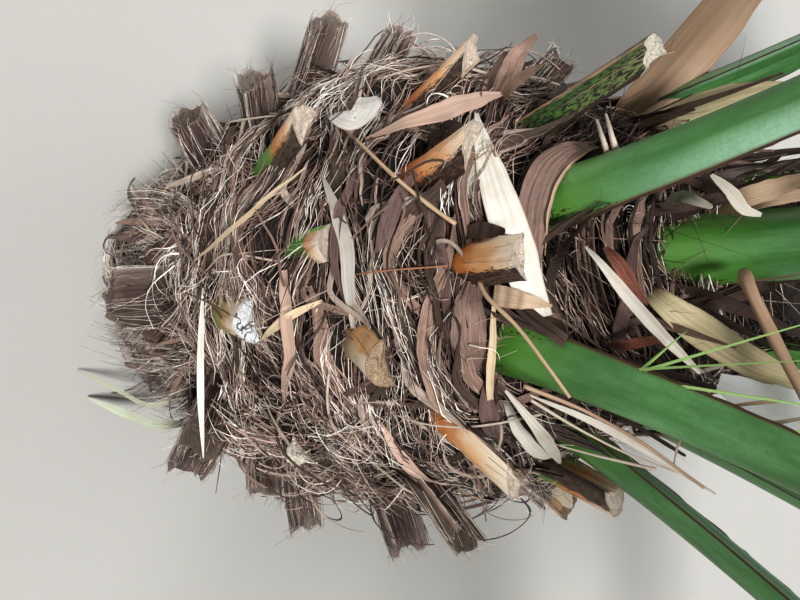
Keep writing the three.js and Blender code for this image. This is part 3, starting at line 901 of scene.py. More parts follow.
def dry_finish(name, shade, worn=1.0):
    """Dried blade: parallel veins, tan blotches and a darker, frayed edge, all fainter on a less worn one."""
    recipe = Finish(name, 0.55)
    place = recipe.uv_place()
    veins, ridges = recipe.group(STRANDS, place, 22.0, 6.0, 1.0)
    recipe.shown = recipe.shades(veins, shade, 1 - 0.38 * worn, 1.1)
    recipe.layer(recipe.patches(26.0) * (0.22 * worn), BLOTCH_TAN)
    edge = abs(recipe.split(place)[0] - 0.5).between(0.44, 0.5)
    recipe.layer(edge * (0.5 * worn), FRAYED_TAN)
    return recipe.done(None, ridges, 0.0009)


# Trunk

SKIN_COLUMNS, SKIN_ROWS = 256, 160


def trunk_skin():
    """The trunk's matted skin, closed at the ground and at the heart.

    Over azimuth and height, the radius is the profile plus the swellings, the relief and fine level
    ripples, which fade out at the ground so that the foot stays flat.
    """
    trunk = settings("trunk")
    azimuth = np.linspace(0, 360, SKIN_COLUMNS, endpoint=False)
    height = column(np.linspace(0, TRUNK_TOP, SKIN_ROWS))
    u, v = azimuth / 360, height / TRUNK_TOP
    ripples = trunk.strand_height * hills(u + 0.01 * hills(u, v, 40, 40, 13), v, 90, 210, 14)
    wall = on_trunk(azimuth, height, ripples * np.clip(height / 0.02, 0, 1) - 0.002)
    caps = [wall[0] * (share, share, 1) for share in (0.02, 0.6)]
    heart = on_trunk(azimuth, TRUNK_TOP, 0)
    middle = TRUNK_TOP * (LEAN + UP)
    dome = [mixed(middle + 0.012 * (1 - share**2) * UP, heart, share) for share in (0.7, 0.35, 0.02)]
    rings = np.stack([*caps, *wall, *dome])
    v = steps(len(rings))
    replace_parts(tube_piece("trunk_skin", rings, u, v, [skin_finish(trunk)], "trunk_fibre"), "trunk")


# The way that the mat runs

def right_tangle(azimuth, height):
    """A bell over azimuth and height, where loose fibre is tangled at the right."""
    return np.exp(-(around(azimuth, 72) / 36) ** 2 - ((height - 0.44) / 0.13) ** 2)


def disorder(azimuth, height):
    """How tangled the mat is, from 0 to 1: combed high on the trunk, tangled below and at the right."""
    low = np.clip((0.5 - height) / 0.14, 0, 1)
    return np.clip(low + right_tangle(azimuth, height), 0.12, 1)


def level_flow(azimuth, height):
    """Heading of the fibres in radians: near level, sagging like a hammock under each leaf base.

    Slow hills turn the flow either way, more where the mat is tangled, and each foot adds a slope
    that rises away from it on both sides and dies out as a bell does.
    """
    wild = disorder(azimuth, height)
    flow = ((0.12 + 0.45 * wild) * over_trunk(azimuth, height, 16, 9, 21)
            + (0.08 + 0.4 * wild) * over_trunk(azimuth, height, 44, 26, 22))
    for foot_azimuth, foot_height, _, _ in FEET:
        x = np.radians(around(azimuth, foot_azimuth)) * trunk_radius(foot_height) / 0.08
        y = (height - foot_height + 0.02) / 0.055
        flow = flow + 0.85 * x * np.exp(-x**2 - y**2)
    return flow


def random_spots(rng, count, low, high):
    """Spots spread evenly over the trunk: azimuths at random, heights as its radius is large."""
    height = rng.uniform(low, high, count * 3)
    kept = height[rng.uniform(0, 0.26, count * 3) < trunk_radius(height)][:count]
    return rng.uniform(0, 360, len(kept)), kept


def trails(rng, azimuth, height, way, offset, bend, kink, length, stations):
    """Trails over the trunk's unrolled skin, as azimuths and heights of shape (trails, stations).

    Each step goes right or left along the flow where it stands, turned by an offset, by a bend that
    grows along the trail, and by a random walk.
    """
    walk = np.cumsum(rng.normal(0, 1, (len(azimuth), stations)), axis=1) * column(kink)
    spots = np.zeros((2, stations, len(azimuth)))
    spots[:, 0] = azimuth, height
    step = length / (stations - 1)
    for k in range(1, stations):
        before = spots[:, k - 1]
        heading = level_flow(*before) + offset + bend * k / stations + walk[:, k]
        high = np.clip(before[1] + way * np.sin(heading) * step, 0.003, TRUNK_TOP)
        spots[:, k] = before[0] + way * np.degrees(np.cos(heading) * step / trunk_radius(high)), high
    return spots[0].T, spots[1].T


def tone(azimuth, height):
    """Slow patches over the trunk, near -1 to 1, where the mat is darker or paler than elsewhere."""
    return 0.7 * over_trunk(azimuth, height, 21, 11, 41) + 0.5 * over_trunk(azimuth, height, 48, 26, 42)


def above_ground(points, least=0.002):
    """The same points, none of them lower than the least height."""
    points[..., 2] = np.maximum(points[..., 2], least)
    return points


# Fibre

FIBRE_TINTS = ("dark", "umber", "brown", "rosy", "tan", "pale", "bone", "grey")
# Stations along a fibre: most of them, a curl, a hanging one and a stiff one
FIBRE_STATIONS, CURL_STATIONS, HANGING_STATIONS, STIFF_STATIONS = 8, 11, 9, 6
FIBRE_SEED = 5
CURLS_IN_CLUMP = 12
# Longest curl of a clump, from least to greatest, and of a clump of fuzz
CURL_LENGTHS, FUZZ_LENGTH = (0.06, 0.17), 0.045
# Least and greatest lengths of a stiff fibre and of one in the crown
STIFF_LENGTHS, CROWN_LENGTHS = (0.022, 0.06), (0.03, 0.13)
# Heights between which fibres hang, stubs are torn and fibres stand in the crown
HANGING_HEIGHTS, BROOM_HEIGHTS, CROWN_HEIGHTS = (0.06, 0.27), (0.1, 0.32), (0.66, 0.88)


def tinted(rng, level, azimuth, height):
    """A tint number for each fibre: darker deep in the mat, as painted shade, and by the heart, paler on top,
    grey low down.
    """
    level = np.clip(level + 0.28 * tone(azimuth, height), 0, 1)
    low = np.clip((0.42 - height) / 0.2, 0, 1)
    # How much darker the fibres are by height: darker near the heart, paler low down and in a band about 0.55
    # m up
    height_darkening = 1.9 * np.clip((height - 0.66) / 0.06, 0, 1) - 0.55 * low
    height_darkening = height_darkening - 0.95 * np.exp(-((height - 0.55) / 0.07) ** 2)
    ladder = level**1.7 * 6.4 - 0.6 - height_darkening + (1.35 + 0.5 * low) * rng.normal(0, 1, len(level))
    grey = rng.uniform(0, 1, len(level)) < 0.34 * np.clip((0.34 - height) / 0.2, 0, 1)
    return np.where(grey, 7, np.clip(ladder, 0, 6).round().astype(int))


def matted_fibres(rng):
    """Fibres that lie on the skin, in locks that share a start, a way and a depth in the mat.

    The depth also sets the tint, darker deeper down as painted shade. The darkest are thinned, since the skin
    under them, painted dark as shade, is as dark.
    """
    fibre = settings("fibre")
    azimuth, height = random_spots(rng, fibre.locks, 0.01, TRUNK_TOP - 0.01)
    count, locks = fibre.fibres_per_lock, len(azimuth)
    total = locks * count
    wild = np.repeat(disorder(azimuth, height), count)
    level = np.clip(np.repeat(rng.uniform(0, 1, locks), count) + rng.normal(0, 0.12, total), 0, 1)
    offset = np.repeat(rng.normal(0, 1, locks), count) * (0.06 + 0.45 * wild) + rng.normal(0, 0.09, total)
    offset = offset + (rng.uniform(0, 1, total) < 0.1) * rng.normal(0, 0.9, total)
    length = fibre.longest * np.repeat(rng.uniform(0.25, 1, locks), count) * rng.uniform(0.5, 1, total)
    way = np.repeat(rng.choice([-1.0, 1.0], locks), count)
    azimuth = np.repeat(azimuth, count) + rng.normal(0, 1.1, total)
    height = np.clip(np.repeat(height, count) + rng.normal(0, 0.0042, total), 0.004, TRUNK_TOP - 0.004)
    bend = rng.normal(0, 0.3, total)
    trail, high = trails(rng, azimuth, height, way, offset, bend, 0.04 + 0.09 * wild, length, FIBRE_STATIONS)
    t = steps(FIBRE_STATIONS)
    bow = column(np.abs(rng.normal(0, 0.003, total)) * (0.5 + level)) * np.sin(np.pi * t)
    frayed = column(rng.exponential(0.008, total) * (rng.uniform(0, 1, total) < 0.25)) * t**3
    points = above_ground(on_trunk(trail, high, column(0.0005 + 0.01 * level**1.5) + bow + frayed, 0.85))
    radius = column(fibre.radius * rng.uniform(0.5, 1.4, total) * (1.1 - 0.25 * level))
    rings = sweep(points, off_trunk(trail, high), ROUND[3], radius * (0.3 + 0.7 * np.sin(np.pi * t) ** 0.6))
    # Fibres lying lower in the mat get darker tints: painted shade
    tints = tinted(rng, level - 0.3 * right_tangle(azimuth, height), azimuth, height)
    kept = (tints > 0) | (rng.uniform(0, 1, total) < 0.4)
    return rings[kept], tints[kept]


def skin_frame(azimuth, height):
    """Level, upward and outward directions of the skin at a spot."""
    normal, side = off_trunk(azimuth, height), sideways(azimuth)
    return side, np.cross(normal, side), normal


def curled(rng, azimuth, height, yaw, turn, length, lift, stations):
    """Paths that swing off the skin and curl, and the skin's normals where they start.

    The heading at share t turns within the skin's plane by yaw + turn t with a wave, and by a pitch
    off it, from outward to inward, and the path is the running sum of the headings.
    """
    total = len(azimuth)
    side, upward, normal = (d[:, None] for d in skin_frame(azimuth, height))
    t = steps(stations)
    wave = scatter(rng, 0, 0.5, total) * np.sin(8 * t + spread(rng, 0, 6.28, total))
    yaw = column(yaw) + column(turn) * t + wave
    pitch = spread(rng, 0.1, 1.2, total) * (1 - spread(rng, 1.2, 2.4, total) * t)
    headings = (side * column(np.cos(yaw) * np.cos(pitch)) + upward * column(np.sin(yaw) * np.cos(pitch))
                + normal * column(np.sin(pitch)))
    path = np.cumsum(headings, axis=1) * column(column(length)) / stations
    return above_ground(on_trunk(azimuth, height, lift)[:, None] + path), normal


def tangle_spots(rng, count, share):
    """Spots over the trunk: a share in the tangle at the right, some low at the left, some by the stalks."""
    azimuth, height = random_spots(rng, count, 0.03, 0.7)
    total = len(azimuth)
    which = rng.uniform(0, 1, total)
    foot, foot_height = np.array(FRONDS)[rng.integers(0, len(FRONDS), total), :2].T
    gathered = [
        (which < share, rng.normal(64, 22, total), rng.normal(0.37, 0.09, total)),
        (which > 0.9, rng.normal(-20, 18, total), rng.normal(0.18, 0.05, total)),
        ((which > 0.66) & (which < 0.8), rng.choice([-80, 84], total) + rng.normal(0, 7, total),
         rng.uniform(0.16, 0.6, total)),
        ((which > 0.8) & (which < 0.84), rng.normal(foot, 6),
         foot_height - rng.uniform(0.024, 0.06, total)),
    ]
    for chosen, turned, high in gathered:
        azimuth, height = np.where(chosen, turned, azimuth), np.where(chosen, high, height)
    return azimuth, np.clip(height, 0.04, 0.84)


def loose_curls(rng):
    """Loose fibres that curl off the skin in clumps, each with a spot, a way and a shade.

    Half of the clumps are short fuzz, and in the others thicker fibres run side by side.
    """
    fibre = settings("fibre")
    azimuth, height = tangle_spots(rng, fibre.curls // CURLS_IN_CLUMP, 0.36)
    clumps = len(azimuth)
    total = clumps * CURLS_IN_CLUMP
    yaw, turn = rng.uniform(0, 2 * np.pi, clumps), rng.normal(0, 3.2, clumps)
    fuzz = rng.uniform(0, 1, clumps) < 0.5
    shade = rng.uniform(0.3, 0.95, clumps)
    reach = np.where(fuzz, FUZZ_LENGTH, rng.uniform(*CURL_LENGTHS, clumps))
    reach = reach * np.where(height > 0.62, 0.45, 1)
    azimuth, height, yaw, turn, shade, reach, fuzz = (
        np.repeat(d, CURLS_IN_CLUMP) for d in (azimuth, height, yaw, turn, shade, reach, fuzz))
    azimuth = azimuth + rng.normal(0, 2.2, total)
    height = np.clip(height + rng.normal(0, 0.008, total), 0.01, 0.86)
    points, normal = curled(
        rng, azimuth, height, yaw + rng.normal(0, 0.25 + 1.1 * fuzz, total),
        turn + rng.normal(0, 0.5 + 0.9 * fuzz, total),
        reach * rng.uniform(0.4, 1, total), 0.002 + rng.uniform(0, 0.012, total), CURL_STATIONS)
    coarse = rng.uniform(0, 1, total) < 0.12
    thick = np.where(coarse, rng.uniform(1.4, 2.6, total), rng.uniform(0.6, 1.3, total))
    thick = thick * np.where(fuzz, 0.85, 1.25)
    radius = column(fibre.radius * thick) * (1.05 - 0.8 * steps(CURL_STATIONS))
    tints = tinted(rng, np.clip(shade + rng.normal(0, 0.12, total), 0, 1) ** 0.7, azimuth, height)
    return sweep(points, normal, ROUND[3], radius), np.where(thick > 1.4, np.maximum(tints, 2), tints)


def clear_spots(rng, count, low, high):
    """Spots between two heights that leave the faces of the seen low leaf bases free."""
    azimuth, height = rng.uniform(0, 360, count * 4), rng.uniform(low, high, count * 4)
    free = np.ones(count * 4, bool)
    for row in SEEN_BOOTS:
        if row[1] < 0.34:
            free &= (np.abs(around(azimuth, row[0])) > 12) | (height < row[1] - 0.035)
    return azimuth[free][:count], height[free][:count]


# How many clumps of fibre hang low on the trunk, how many of them at the viewer's right, and fibres in each
HANGING_CLUMPS, HANGING_RIGHT, HANGING_FIBRES = 230, 50, 9


def hanging_fibres(rng):
    """Fibres that droop in clumps from the lowest mat towards the ground: out along the normal, then down."""
    clumps, count = HANGING_CLUMPS, HANGING_FIBRES
    total = clumps * count
    azimuth, height = clear_spots(rng, clumps, *HANGING_HEIGHTS)
    azimuth[:HANGING_RIGHT] = rng.normal(30, 11, HANGING_RIGHT)
    height[:HANGING_RIGHT] = rng.uniform(0.1, 0.22, HANGING_RIGHT)
    azimuth = np.repeat(azimuth, count) + rng.normal(0, 1.6, total)
    height = np.repeat(height, count) + rng.normal(0, 0.006, total)
    t = steps(HANGING_STATIONS)
    reach = column(np.repeat(rng.uniform(0.006, 0.062, clumps), count) * rng.uniform(0.7, 1.2, total))
    fall = column(height * np.repeat(rng.uniform(0.25, 0.95, clumps), count) * rng.uniform(0.7, 1, total))
    drift = np.repeat(rng.normal(0, 10, clumps), count) + rng.normal(0, 3, total)
    trail = column(azimuth) + column(drift) * t
    high = column(height) + 0.012 * np.sin(np.pi * t) - fall * t**2
    out = trunk_radius(column(height)) + reach * np.sin(np.pi * t * 0.62)
    radius = column(settings("fibre").radius * rng.uniform(0.6, 1.4, total)) * (1.0 - 0.7 * t)
    rings = sweep(above_ground(off_axis(trail, high, out)), outward(trail), ROUND[3], radius)
    return rings, tinted(rng, rng.uniform(0.1, 0.95, total), azimuth, height)


def base_fibres(rng):
    """Fibres that run along each leaf base and fray past its cut, many on an old one and few on a fresh one.

    A fibre reads its way off the base's rings between stations and sides, lies a hair off them, and
    past the cut it goes on along the base and bends as the square of the way.
    """
    families, levels = [], []
    t = steps(FIBRE_STATIONS)
    run, over = np.minimum(t / 0.7, 1), np.maximum(t - 0.7, 0) / 0.3
    for number, row in enumerate(BOOTS + STUBS, 1):
        rings = leaf_base_rings(row, 100 * number)[0][:BASE_STATIONS]
        old = row[6] in OLD_FINISHES
        count, most_lift, most_past, wave, palest = (
            (96, 0.003, 0.009, 0.0016, (0.1, 0.95)) if old else (12, 0.001, 0.005, 0.0004, (0.6, 0.9)))
        station = mixed(spread(rng, 0.25, 0.9, count), 1, run) * (BASE_STATIONS - 1)
        station = np.minimum(station, BASE_STATIONS - 1.01)
        place = spread(rng, 0, BASE_SIDES, count) + scatter(rng, 0, 1.8, count) * run
        i, j = np.floor(station).astype(int), np.floor(place).astype(int)
        before, after, share = j % BASE_SIDES, (j + 1) % BASE_SIDES, column(place - j)
        near, far = (mixed(rings[k, before], rings[k, after], share) for k in (i, i + 1))
        on = mixed(near, far, column(station - i))
        away = unit(on - rings.mean(axis=1)[i])
        lift = spread(rng, 0.0003, most_lift, count) * (0.2 + np.sin(np.pi * t) + over)
        past = spread(rng, 0.001, most_past, count) * over
        bend = rng.normal(0, 1.0, (count, 1, 3)) * column(past * over)
        bend = bend + rng.normal(0, wave, (count, 1, 3)) * np.sin(7 * over)[:, None]
        families.append(on + away * column(lift) + frames_at(row[0], row[2])[0] * column(past) + bend)
        levels.append(rng.uniform(*palest, count))
    points = above_ground(np.concatenate(families))
    radius = column(settings("fibre").radius * rng.uniform(0.4, 0.9, len(points))) * (1.0 - 0.6 * t)
    x, y, z = points[:, 0].T
    tints = tinted(rng, np.concatenate(levels), np.degrees(np.arctan2(x, -y)), z)
    return sweep(points, UP + 0.1, ROUND[3], radius), tints


# Torn stubs low on the trunk, as azimuth and height, and how many more stand at random
SEEN_BROOMS = [(-17, 0.235), (-36, 0.215), (-50, 0.24), (4, 0.262), (24, 0.24), (38, 0.275), (-28, 0.3)]
MORE_BROOMS, BROOM_FIBRES = 22, 40


def brooms(rng):
    """Stiff fibres that fan out from torn stubs: straight ways spread about one lead, which bend a little."""
    azimuth, height = clear_spots(rng, MORE_BROOMS, *BROOM_HEIGHTS)
    azimuth, height = np.append(np.array(SEEN_BROOMS).T, [azimuth, height], axis=1)
    side, upward, normal = skin_frame(azimuth, height)
    stubs = len(azimuth)
    lead = normal + upward * spread(rng, -0.5, 0.6, stubs) + side * scatter(rng, 0, 0.7, stubs)
    azimuth, height, side, upward, lead = (
        np.repeat(d, BROOM_FIBRES, axis=0) for d in (azimuth, height, side, upward, lead))
    total = len(azimuth)
    across, along = (column(off) for off in rng.normal(0, 1, (2, total)))
    ways = unit(lead + 0.42 * side * across + 0.3 * upward * along)
    root = on_trunk(azimuth, height, -0.004) + 0.006 * side * across + 0.005 * upward * along
    t = steps(STIFF_STATIONS)
    length = spread(rng, *STIFF_LENGTHS, total)
    bend = rng.normal(0, 0.22, (total, 1, 3)) * column(length * t**2)
    points = above_ground(root[:, None] + ways[:, None] * column(length * t) + bend)
    radius = column(settings("fibre").radius * rng.uniform(0.7, 2.0, total)) * (1.05 - 0.75 * t)
    tints = tinted(rng, rng.uniform(0.1, 0.9, total), azimuth, height)
    return sweep(points, UP + 0.2, ROUND[3], radius), tints


CROWN_FIBRES = 440


def crown_fibres(rng):
    """Fibres that stand up between the stalks from the torn sheaths and bend over a little."""
    total = CROWN_FIBRES
    azimuth, height = rng.uniform(0, 360, total), rng.uniform(*CROWN_HEIGHTS, total)
    side, upward, normal = skin_frame(azimuth, height)
    ways = unit(upward + normal * spread(rng, 0.0, 0.6, total) + side * scatter(rng, 0, 0.5, total))
    t = steps(FIBRE_STATIONS)
    length = spread(rng, *CROWN_LENGTHS, total)
    bend = (side * scatter(rng, 0, 0.4, total) + normal * spread(rng, -0.1, 0.4, total)) * length
    points = on_trunk(azimuth, height, 0.002)[:, None] + ways[:, None] * column(length * t)
    radius = column(settings("fibre").radius * rng.uniform(0.5, 1.2, total)) * (1.05 - 0.8 * t)
    rings = sweep(points + bend[:, None] * column(t**2), normal[:, None], ROUND[3], radius)
    return rings, tinted(rng, rng.uniform(0.1, 0.8, total), azimuth, height)


def fibres():
    """Every fibre, dealt out by tint into one joined piece each."""
    rng = np.random.default_rng(FIBRE_SEED)
    gathered = {tint: Surface() for tint in FIBRE_TINTS}
    for family in (matted_fibres, loose_curls, hanging_fibres, base_fibres, crown_fibres, brooms):
        rings, tints = family(rng)
        for number, surface in enumerate(gathered.values()):
            chosen = rings[tints == number]
            if len(chosen):
                surface.add_tubes(chosen, np.arange(3) / 3, steps(chosen.shape[1]))
    for tint, surface in gathered.items():
        finish = fibre_finish(f"{tint.title()} Fibre", getattr(settings("fibre"), tint))
        surface.build(f"fibre_{tint}", [finish], "trunk_fibre")


# Sheath

SHEATH_TINTS = ("sheath_dark", "sheath_brown", "sheath_plum", "sheath_pale")
# How common each tint is high on the trunk and low on it
SHEATH_SHARES_HIGH = (0.42, 0.26, 0.22, 0.1)
SHEATH_SHARES_LOW = (0.3, 0.39, 0.11, 0.2)
# Stations along a strap, a torn flap, a hanging rag, a curled strip and a standing sheath
STRAP_STATIONS, FLAP_STATIONS, RAG_STATIONS, STRIP_STATIONS, STANDING_STATIONS = 16, 12, 10, 18, 12
STRAP_THICKNESS, SHEATH_SEED = 0.0014, 9
# Least and greatest widths of a narrow strap, a broad one, a rag, a curled strip and a standing sheath
NARROW_WIDTHS, BROAD_WIDTHS, RAG_WIDTHS = (0.0011, 0.0036), (0.006, 0.017), (0.003, 0.019)
STRIP_WIDTHS, STANDING_WIDTHS = (0.0014, 0.0046), (0.01, 0.03)
# Least and greatest reach of a strap to one side, and length of a flap or rag, a strip and a standing sheath
STRAP_REACH, FLAP_LENGTHS = (0.04, 0.18), (0.03, 0.13)
STRIP_LENGTHS, STANDING_LENGTHS = (0.04, 0.17), (0.07, 0.19)
# Heights between which flaps lie, rags hang and the far sheaths stand
FLAP_HEIGHTS, RAG_HEIGHTS, STANDING_HEIGHTS = (0.04, 0.84), (0.07, 0.31), (0.68, 0.86)
# How many rags hang low on the trunk, strips curl off it and sheaths stand round the far side of the heart
SKIRT_FLAPS, CURLED_STRIPS, FAR_SHEATHS = 220, 230, 60


def sheath_tint(rng, azimuth, height):
    """A tint number for each strap, by shares that change with height, paler where the mat's tone is."""
    share = column(np.clip((height - 0.54) / 0.12, 0, 1))
    odds = np.cumsum(mixed(np.array(SHEATH_SHARES_LOW), np.array(SHEATH_SHARES_HIGH), share), axis=-1)
    place = rng.uniform(0, 1, len(height)) + 0.18 * tone(azimuth, height)
    return np.sum(column(place) > odds, axis=-1).clip(0, len(SHEATH_TINTS) - 1)


def ragged_widths(widths, along, roughness, rows, seed):
    """Widths of many straps, each torn in its own way: hills in one column per strap."""
    total = len(widths)
    return widths * (1 + roughness * hills(column(np.arange(total) / total), along, total, rows, seed))


def strap_widths(rng, height):
    """Mostly narrow straps; broad ones are common high on the trunk, fewer low on it and rare between."""
    share = 0.06 + 0.15 * np.clip((height - 0.59) / 0.04, 0, 1) + 0.1 * np.clip((0.46 - height) / 0.06, 0, 1)
    total = len(height)
    broad = rng.uniform(0, 1, total) < share
    return np.where(broad, rng.uniform(*BROAD_WIDTHS, total), rng.uniform(*NARROW_WIDTHS, total))


def sheath_straps(rng):
    """Torn straps that wrap the trunk from the foot of each leaf to both sides.

    Over x along the trunk, a strap's height is its place on the foot plus climb (sqrt(x^2 + a^2) - a),
    a smile that a leaf's straps share, and its lift is a bell over the foot plus a free end that
    peels off as the fourth power of x.
    """
    count = settings("fibre").straps
    azimuth, height, width, living = np.repeat(FEET, count, axis=0).T
    total = len(azimuth)
    row = np.tile(np.arange(count) / (count - 1), len(FEET))
    climb = np.repeat(rng.uniform(0.0, 0.4, len(FEET)), count) + rng.normal(0, 0.05, total)
    s = np.linspace(-1, 1, STRAP_STATIONS)
    x = np.where(s < 0, spread(rng, *STRAP_REACH, total), spread(rng, *STRAP_REACH, total)) * s
    drop = column(-0.004 - 0.072 * row + rng.normal(0, 0.004, total))
    smile = column(climb) * (np.sqrt(x**2 + 0.03**2) - 0.03)
    wave = scatter(rng, 0, 0.003, total) * np.sin(4 * s + spread(rng, 0, 6.28, total))
    high = np.clip(column(height) + drop + smile + wave, 0.006, TRUNK_TOP)
    trail = column(azimuth) + np.degrees(x / trunk_radius(high))
    over_foot = column((0.005 + 0.009 * living) * (1 - row)) * np.exp(-((x / column(width)) ** 2))
    peel = column(rng.exponential(0.01, total)) * s**4
    lift = 0.001 + spread(rng, 0, 0.009, total) + over_foot + peel
    points = above_ground(on_trunk(trail, high, lift, 0.7), 0.004)
    broad = column(strap_widths(rng, height - 0.072 * row)) * (1 - 0.85 * np.abs(s) ** 3)
    broad = ragged_widths(broad, (s + 1) / 2, 0.25, 7, 31)
    turn = scatter(rng, 0, 0.3, total) + scatter(rng, 0, 0.5, total) * s**3
    rings = sweep(points, off_trunk(trail, high), lens(6, 0.5), broad, STRAP_THICKNESS, turn)
    tint = sheath_tint(rng, azimuth, height)
    tint = np.where((tint == 3) & (broad.max(axis=1) > 0.0065), 1, tint)
    return rings, np.linspace(0, 0.25, STRAP_STATIONS), tint


def torn_flaps(rng):
    """Short torn flaps: a strap that lies on the skin at one end and curls off at the other."""
    azimuth, height = random_spots(rng, settings("fibre").flaps, *FLAP_HEIGHTS)
    total = len(azimuth)
    wild = disorder(azimuth, height)
    way = rng.choice([-1.0, 1.0], total)
    length = rng.uniform(*FLAP_LENGTHS, total)
    trail, high = trails(
        rng, azimuth, height, way, rng.normal(0, 0.15, total) + rng.normal(0, 0.5, total) * wild,
        rng.normal(0, 0.5, total), 0.03 + 0.06 * wild, length, FLAP_STATIONS)
    t = steps(FLAP_STATIONS)
    lift = 0.002 + spread(rng, 0, 0.009, total) + column(rng.exponential(0.016, total)) * t**2.5
    points = above_ground(on_trunk(trail, high, lift, 0.7), 0.004)
    broad = column(strap_widths(rng, height) * rng.uniform(0.9, 1.5, total))
    broad = broad * (0.3 + 0.7 * np.sin(np.pi * (0.15 + 0.8 * t)))
    turn = scatter(rng, 0, 0.4, total) + scatter(rng, 0, 1.1, total) * t**2
    rings = sweep(points, off_trunk(trail, high), lens(6, 0.9), broad, STRAP_THICKNESS, turn)
    return rings, 0.12 * t, sheath_tint(rng, azimuth, height)


def skirt_flaps(rng):
    """Old sheath in rags low on the trunk, which hangs down and stands off at its free end."""
    total = SKIRT_FLAPS
    azimuth, height = clear_spots(rng, total, *RAG_HEIGHTS)
    t = steps(RAG_STATIONS)
    length = spread(rng, *FLAP_LENGTHS, total)
    slant = scatter(rng, 0, 0.6, total) * (1 + 0.5 * t)
    azimuths, heights = column(azimuth), column(height)
    trail = azimuths + np.degrees(length * np.sin(slant) * t / trunk_radius(heights))
    lift = 0.004 + spread(rng, 0.006, 0.042, total) * np.sin(np.pi / 2 * t) ** 1.5
    reach = trunk_radius(heights) + swelling(azimuths, heights) + lift
    points = above_ground(off_axis(trail, heights - length * np.cos(slant) * t, reach), 0.004)
    broad = ragged_widths(spread(rng, *RAG_WIDTHS, total) * (1 - 0.7 * t**2), t, 0.3, 7, 33)
    turn = scatter(rng, 0, 0.5, total) + scatter(rng, 0, 0.9, total) * t
    rings = sweep(points, outward(trail), lens(6, 0.9), broad, STRAP_THICKNESS, turn)
    return rings, 0.12 * t, sheath_tint(rng, azimuth, height)


def curled_strips(rng):
    """Narrow torn strips that curl off the skin, mostly pale, most of them in the tangle at the right."""
    azimuth, height = tangle_spots(rng, CURLED_STRIPS, 0.55)
    total = len(azimuth)
    points, normal = curled(
        rng, azimuth, height, rng.uniform(0, 2 * np.pi, total), rng.normal(0, 3.4, total),
        rng.uniform(*STRIP_LENGTHS, total), 0.006 + rng.uniform(0, 0.012, total), STRIP_STATIONS)
    t = steps(STRIP_STATIONS)
    broad = spread(rng, *STRIP_WIDTHS, total) * (1 - 0.8 * t**3)
    turn = spread(rng, 0, 3.1, total) + scatter(rng, 0, 2.0, total) * t
    rings = sweep(points, normal, lens(4, 0.6), broad, 0.001, turn)
    return rings, 0.15 * t, rng.choice(4, total, p=(0.2, 0.34, 0.1, 0.36))


WING_RIBBONS, WING_BEND_STATIONS, WING_TRAIL_STATIONS = 8, 9, 9
# Least and greatest length that a ribbon trails over the mat, and its width high and low on the margin
WING_TRAILS, WING_WIDTHS = (0.03, 0.13), (0.013, 0.004)


def limbs():
    """Leaf bases and stalks as rows of azimuth, height, azimuth they lean to, rise, width and margin length.

    The first leaf base is left out, since a broad blade lies close against it.
    """
    cut = [(b[0], b[1], b[0], b[2], b[4] * 1.15, min(0.62 * b[3], 0.062)) for b in BOOTS[1:] + STUBS]
    living = [(f[0], f[1], f[2], f[3], f[6] * 1.2, 0.07) for f in FRONDS]
    return np.array(cut + living)


def sheath_wings(rng):
    """The torn sheath on both margins of a leaf base or stalk, as ribbons that sweep into the mat.

    A ribbon leaves the margin at its own place, heads down it, and bends by a Hermite cubic to a spot
    on the trunk beside the foot, from where it trails along the flow of the mat.
    """
    rows = np.repeat(limbs(), 2 * WING_RIBBONS, axis=0)
    total = len(rows)
    side = np.tile(np.repeat([-1.0, 1.0], WING_RIBBONS), total // (2 * WING_RIBBONS))
    order = np.tile((np.arange(WING_RIBBONS) + 0.5) / WING_RIBBONS, total // WING_RIBBONS)
    azimuth, height, leans, rise, width, top = rows.T
    along, across, above = frames_at(leans, rise)
    place = FOOT_DEPTH + top * (1 - order) + rng.normal(0, 0.003, total)
    margin = across * column(side * (width / 2 - 0.0015))
    start = foot_on(azimuth, height, FOOT_DEPTH) + along * column(place) + margin - above * 0.002
    aside = width * 0.5 + mixed(0.05, 0.022, order) + rng.normal(0, 0.006, total)
    end_azimuth = azimuth + np.degrees(side * aside / np.interp(height, TRUNK_HEIGHTS, TRUNK_RADII))
    end_height = np.clip(height + mixed(0.02, -0.05, order) + rng.normal(0, 0.005, total), 0.01, TRUNK_TOP)
    trail, high = trails(
        rng, end_azimuth, end_height, side, rng.normal(0.05, 0.12, total), rng.normal(0, 0.25, total),
        np.full(total, 0.03), rng.uniform(*WING_TRAILS, total), WING_TRAIL_STATIONS)
    t = steps(WING_TRAIL_STATIONS)
    rest = 0.004 + spread(rng, 0, 0.006, total) + column(rng.exponential(0.006, total)) * t**3
    rested = on_trunk(trail, high, rest, 0.7)
    leave = unit(-along + 0.7 * across * column(side))
    arrive = unit(rested[:, 1] - rested[:, 0])
    span = column(0.8 * np.linalg.norm(rested[:, 0] - start, axis=-1))
    t = column(steps(WING_BEND_STATIONS)[:-1])
    bent = hermite(t, start[:, None], (leave * span)[:, None], rested[:, :1], (arrive * span)[:, None])
    points = above_ground(np.concatenate([bent, rested], axis=1), 0.004)
    off = off_trunk(trail, high)
    facing = np.concatenate([mixed((-above)[:, None], off[:, :1], t), off], axis=1)
    s = steps(points.shape[1])
    broad = column(mixed(*WING_WIDTHS, order) * rng.uniform(0.5, 1.1, total)) * (1 - 0.85 * s**2.5)
    rings = sweep(points, facing, lens(4, 0.4), broad, 0.0013, scatter(rng, 0, 0.25, total))
    pale = (rng.uniform(0, 1, total) < 0.3) & (height < 0.662)
    tint = np.where(order < 0.4, np.where(pale, 3, 0), sheath_tint(rng, azimuth, height + 0.1))
    return rings, 0.25 * s, tint


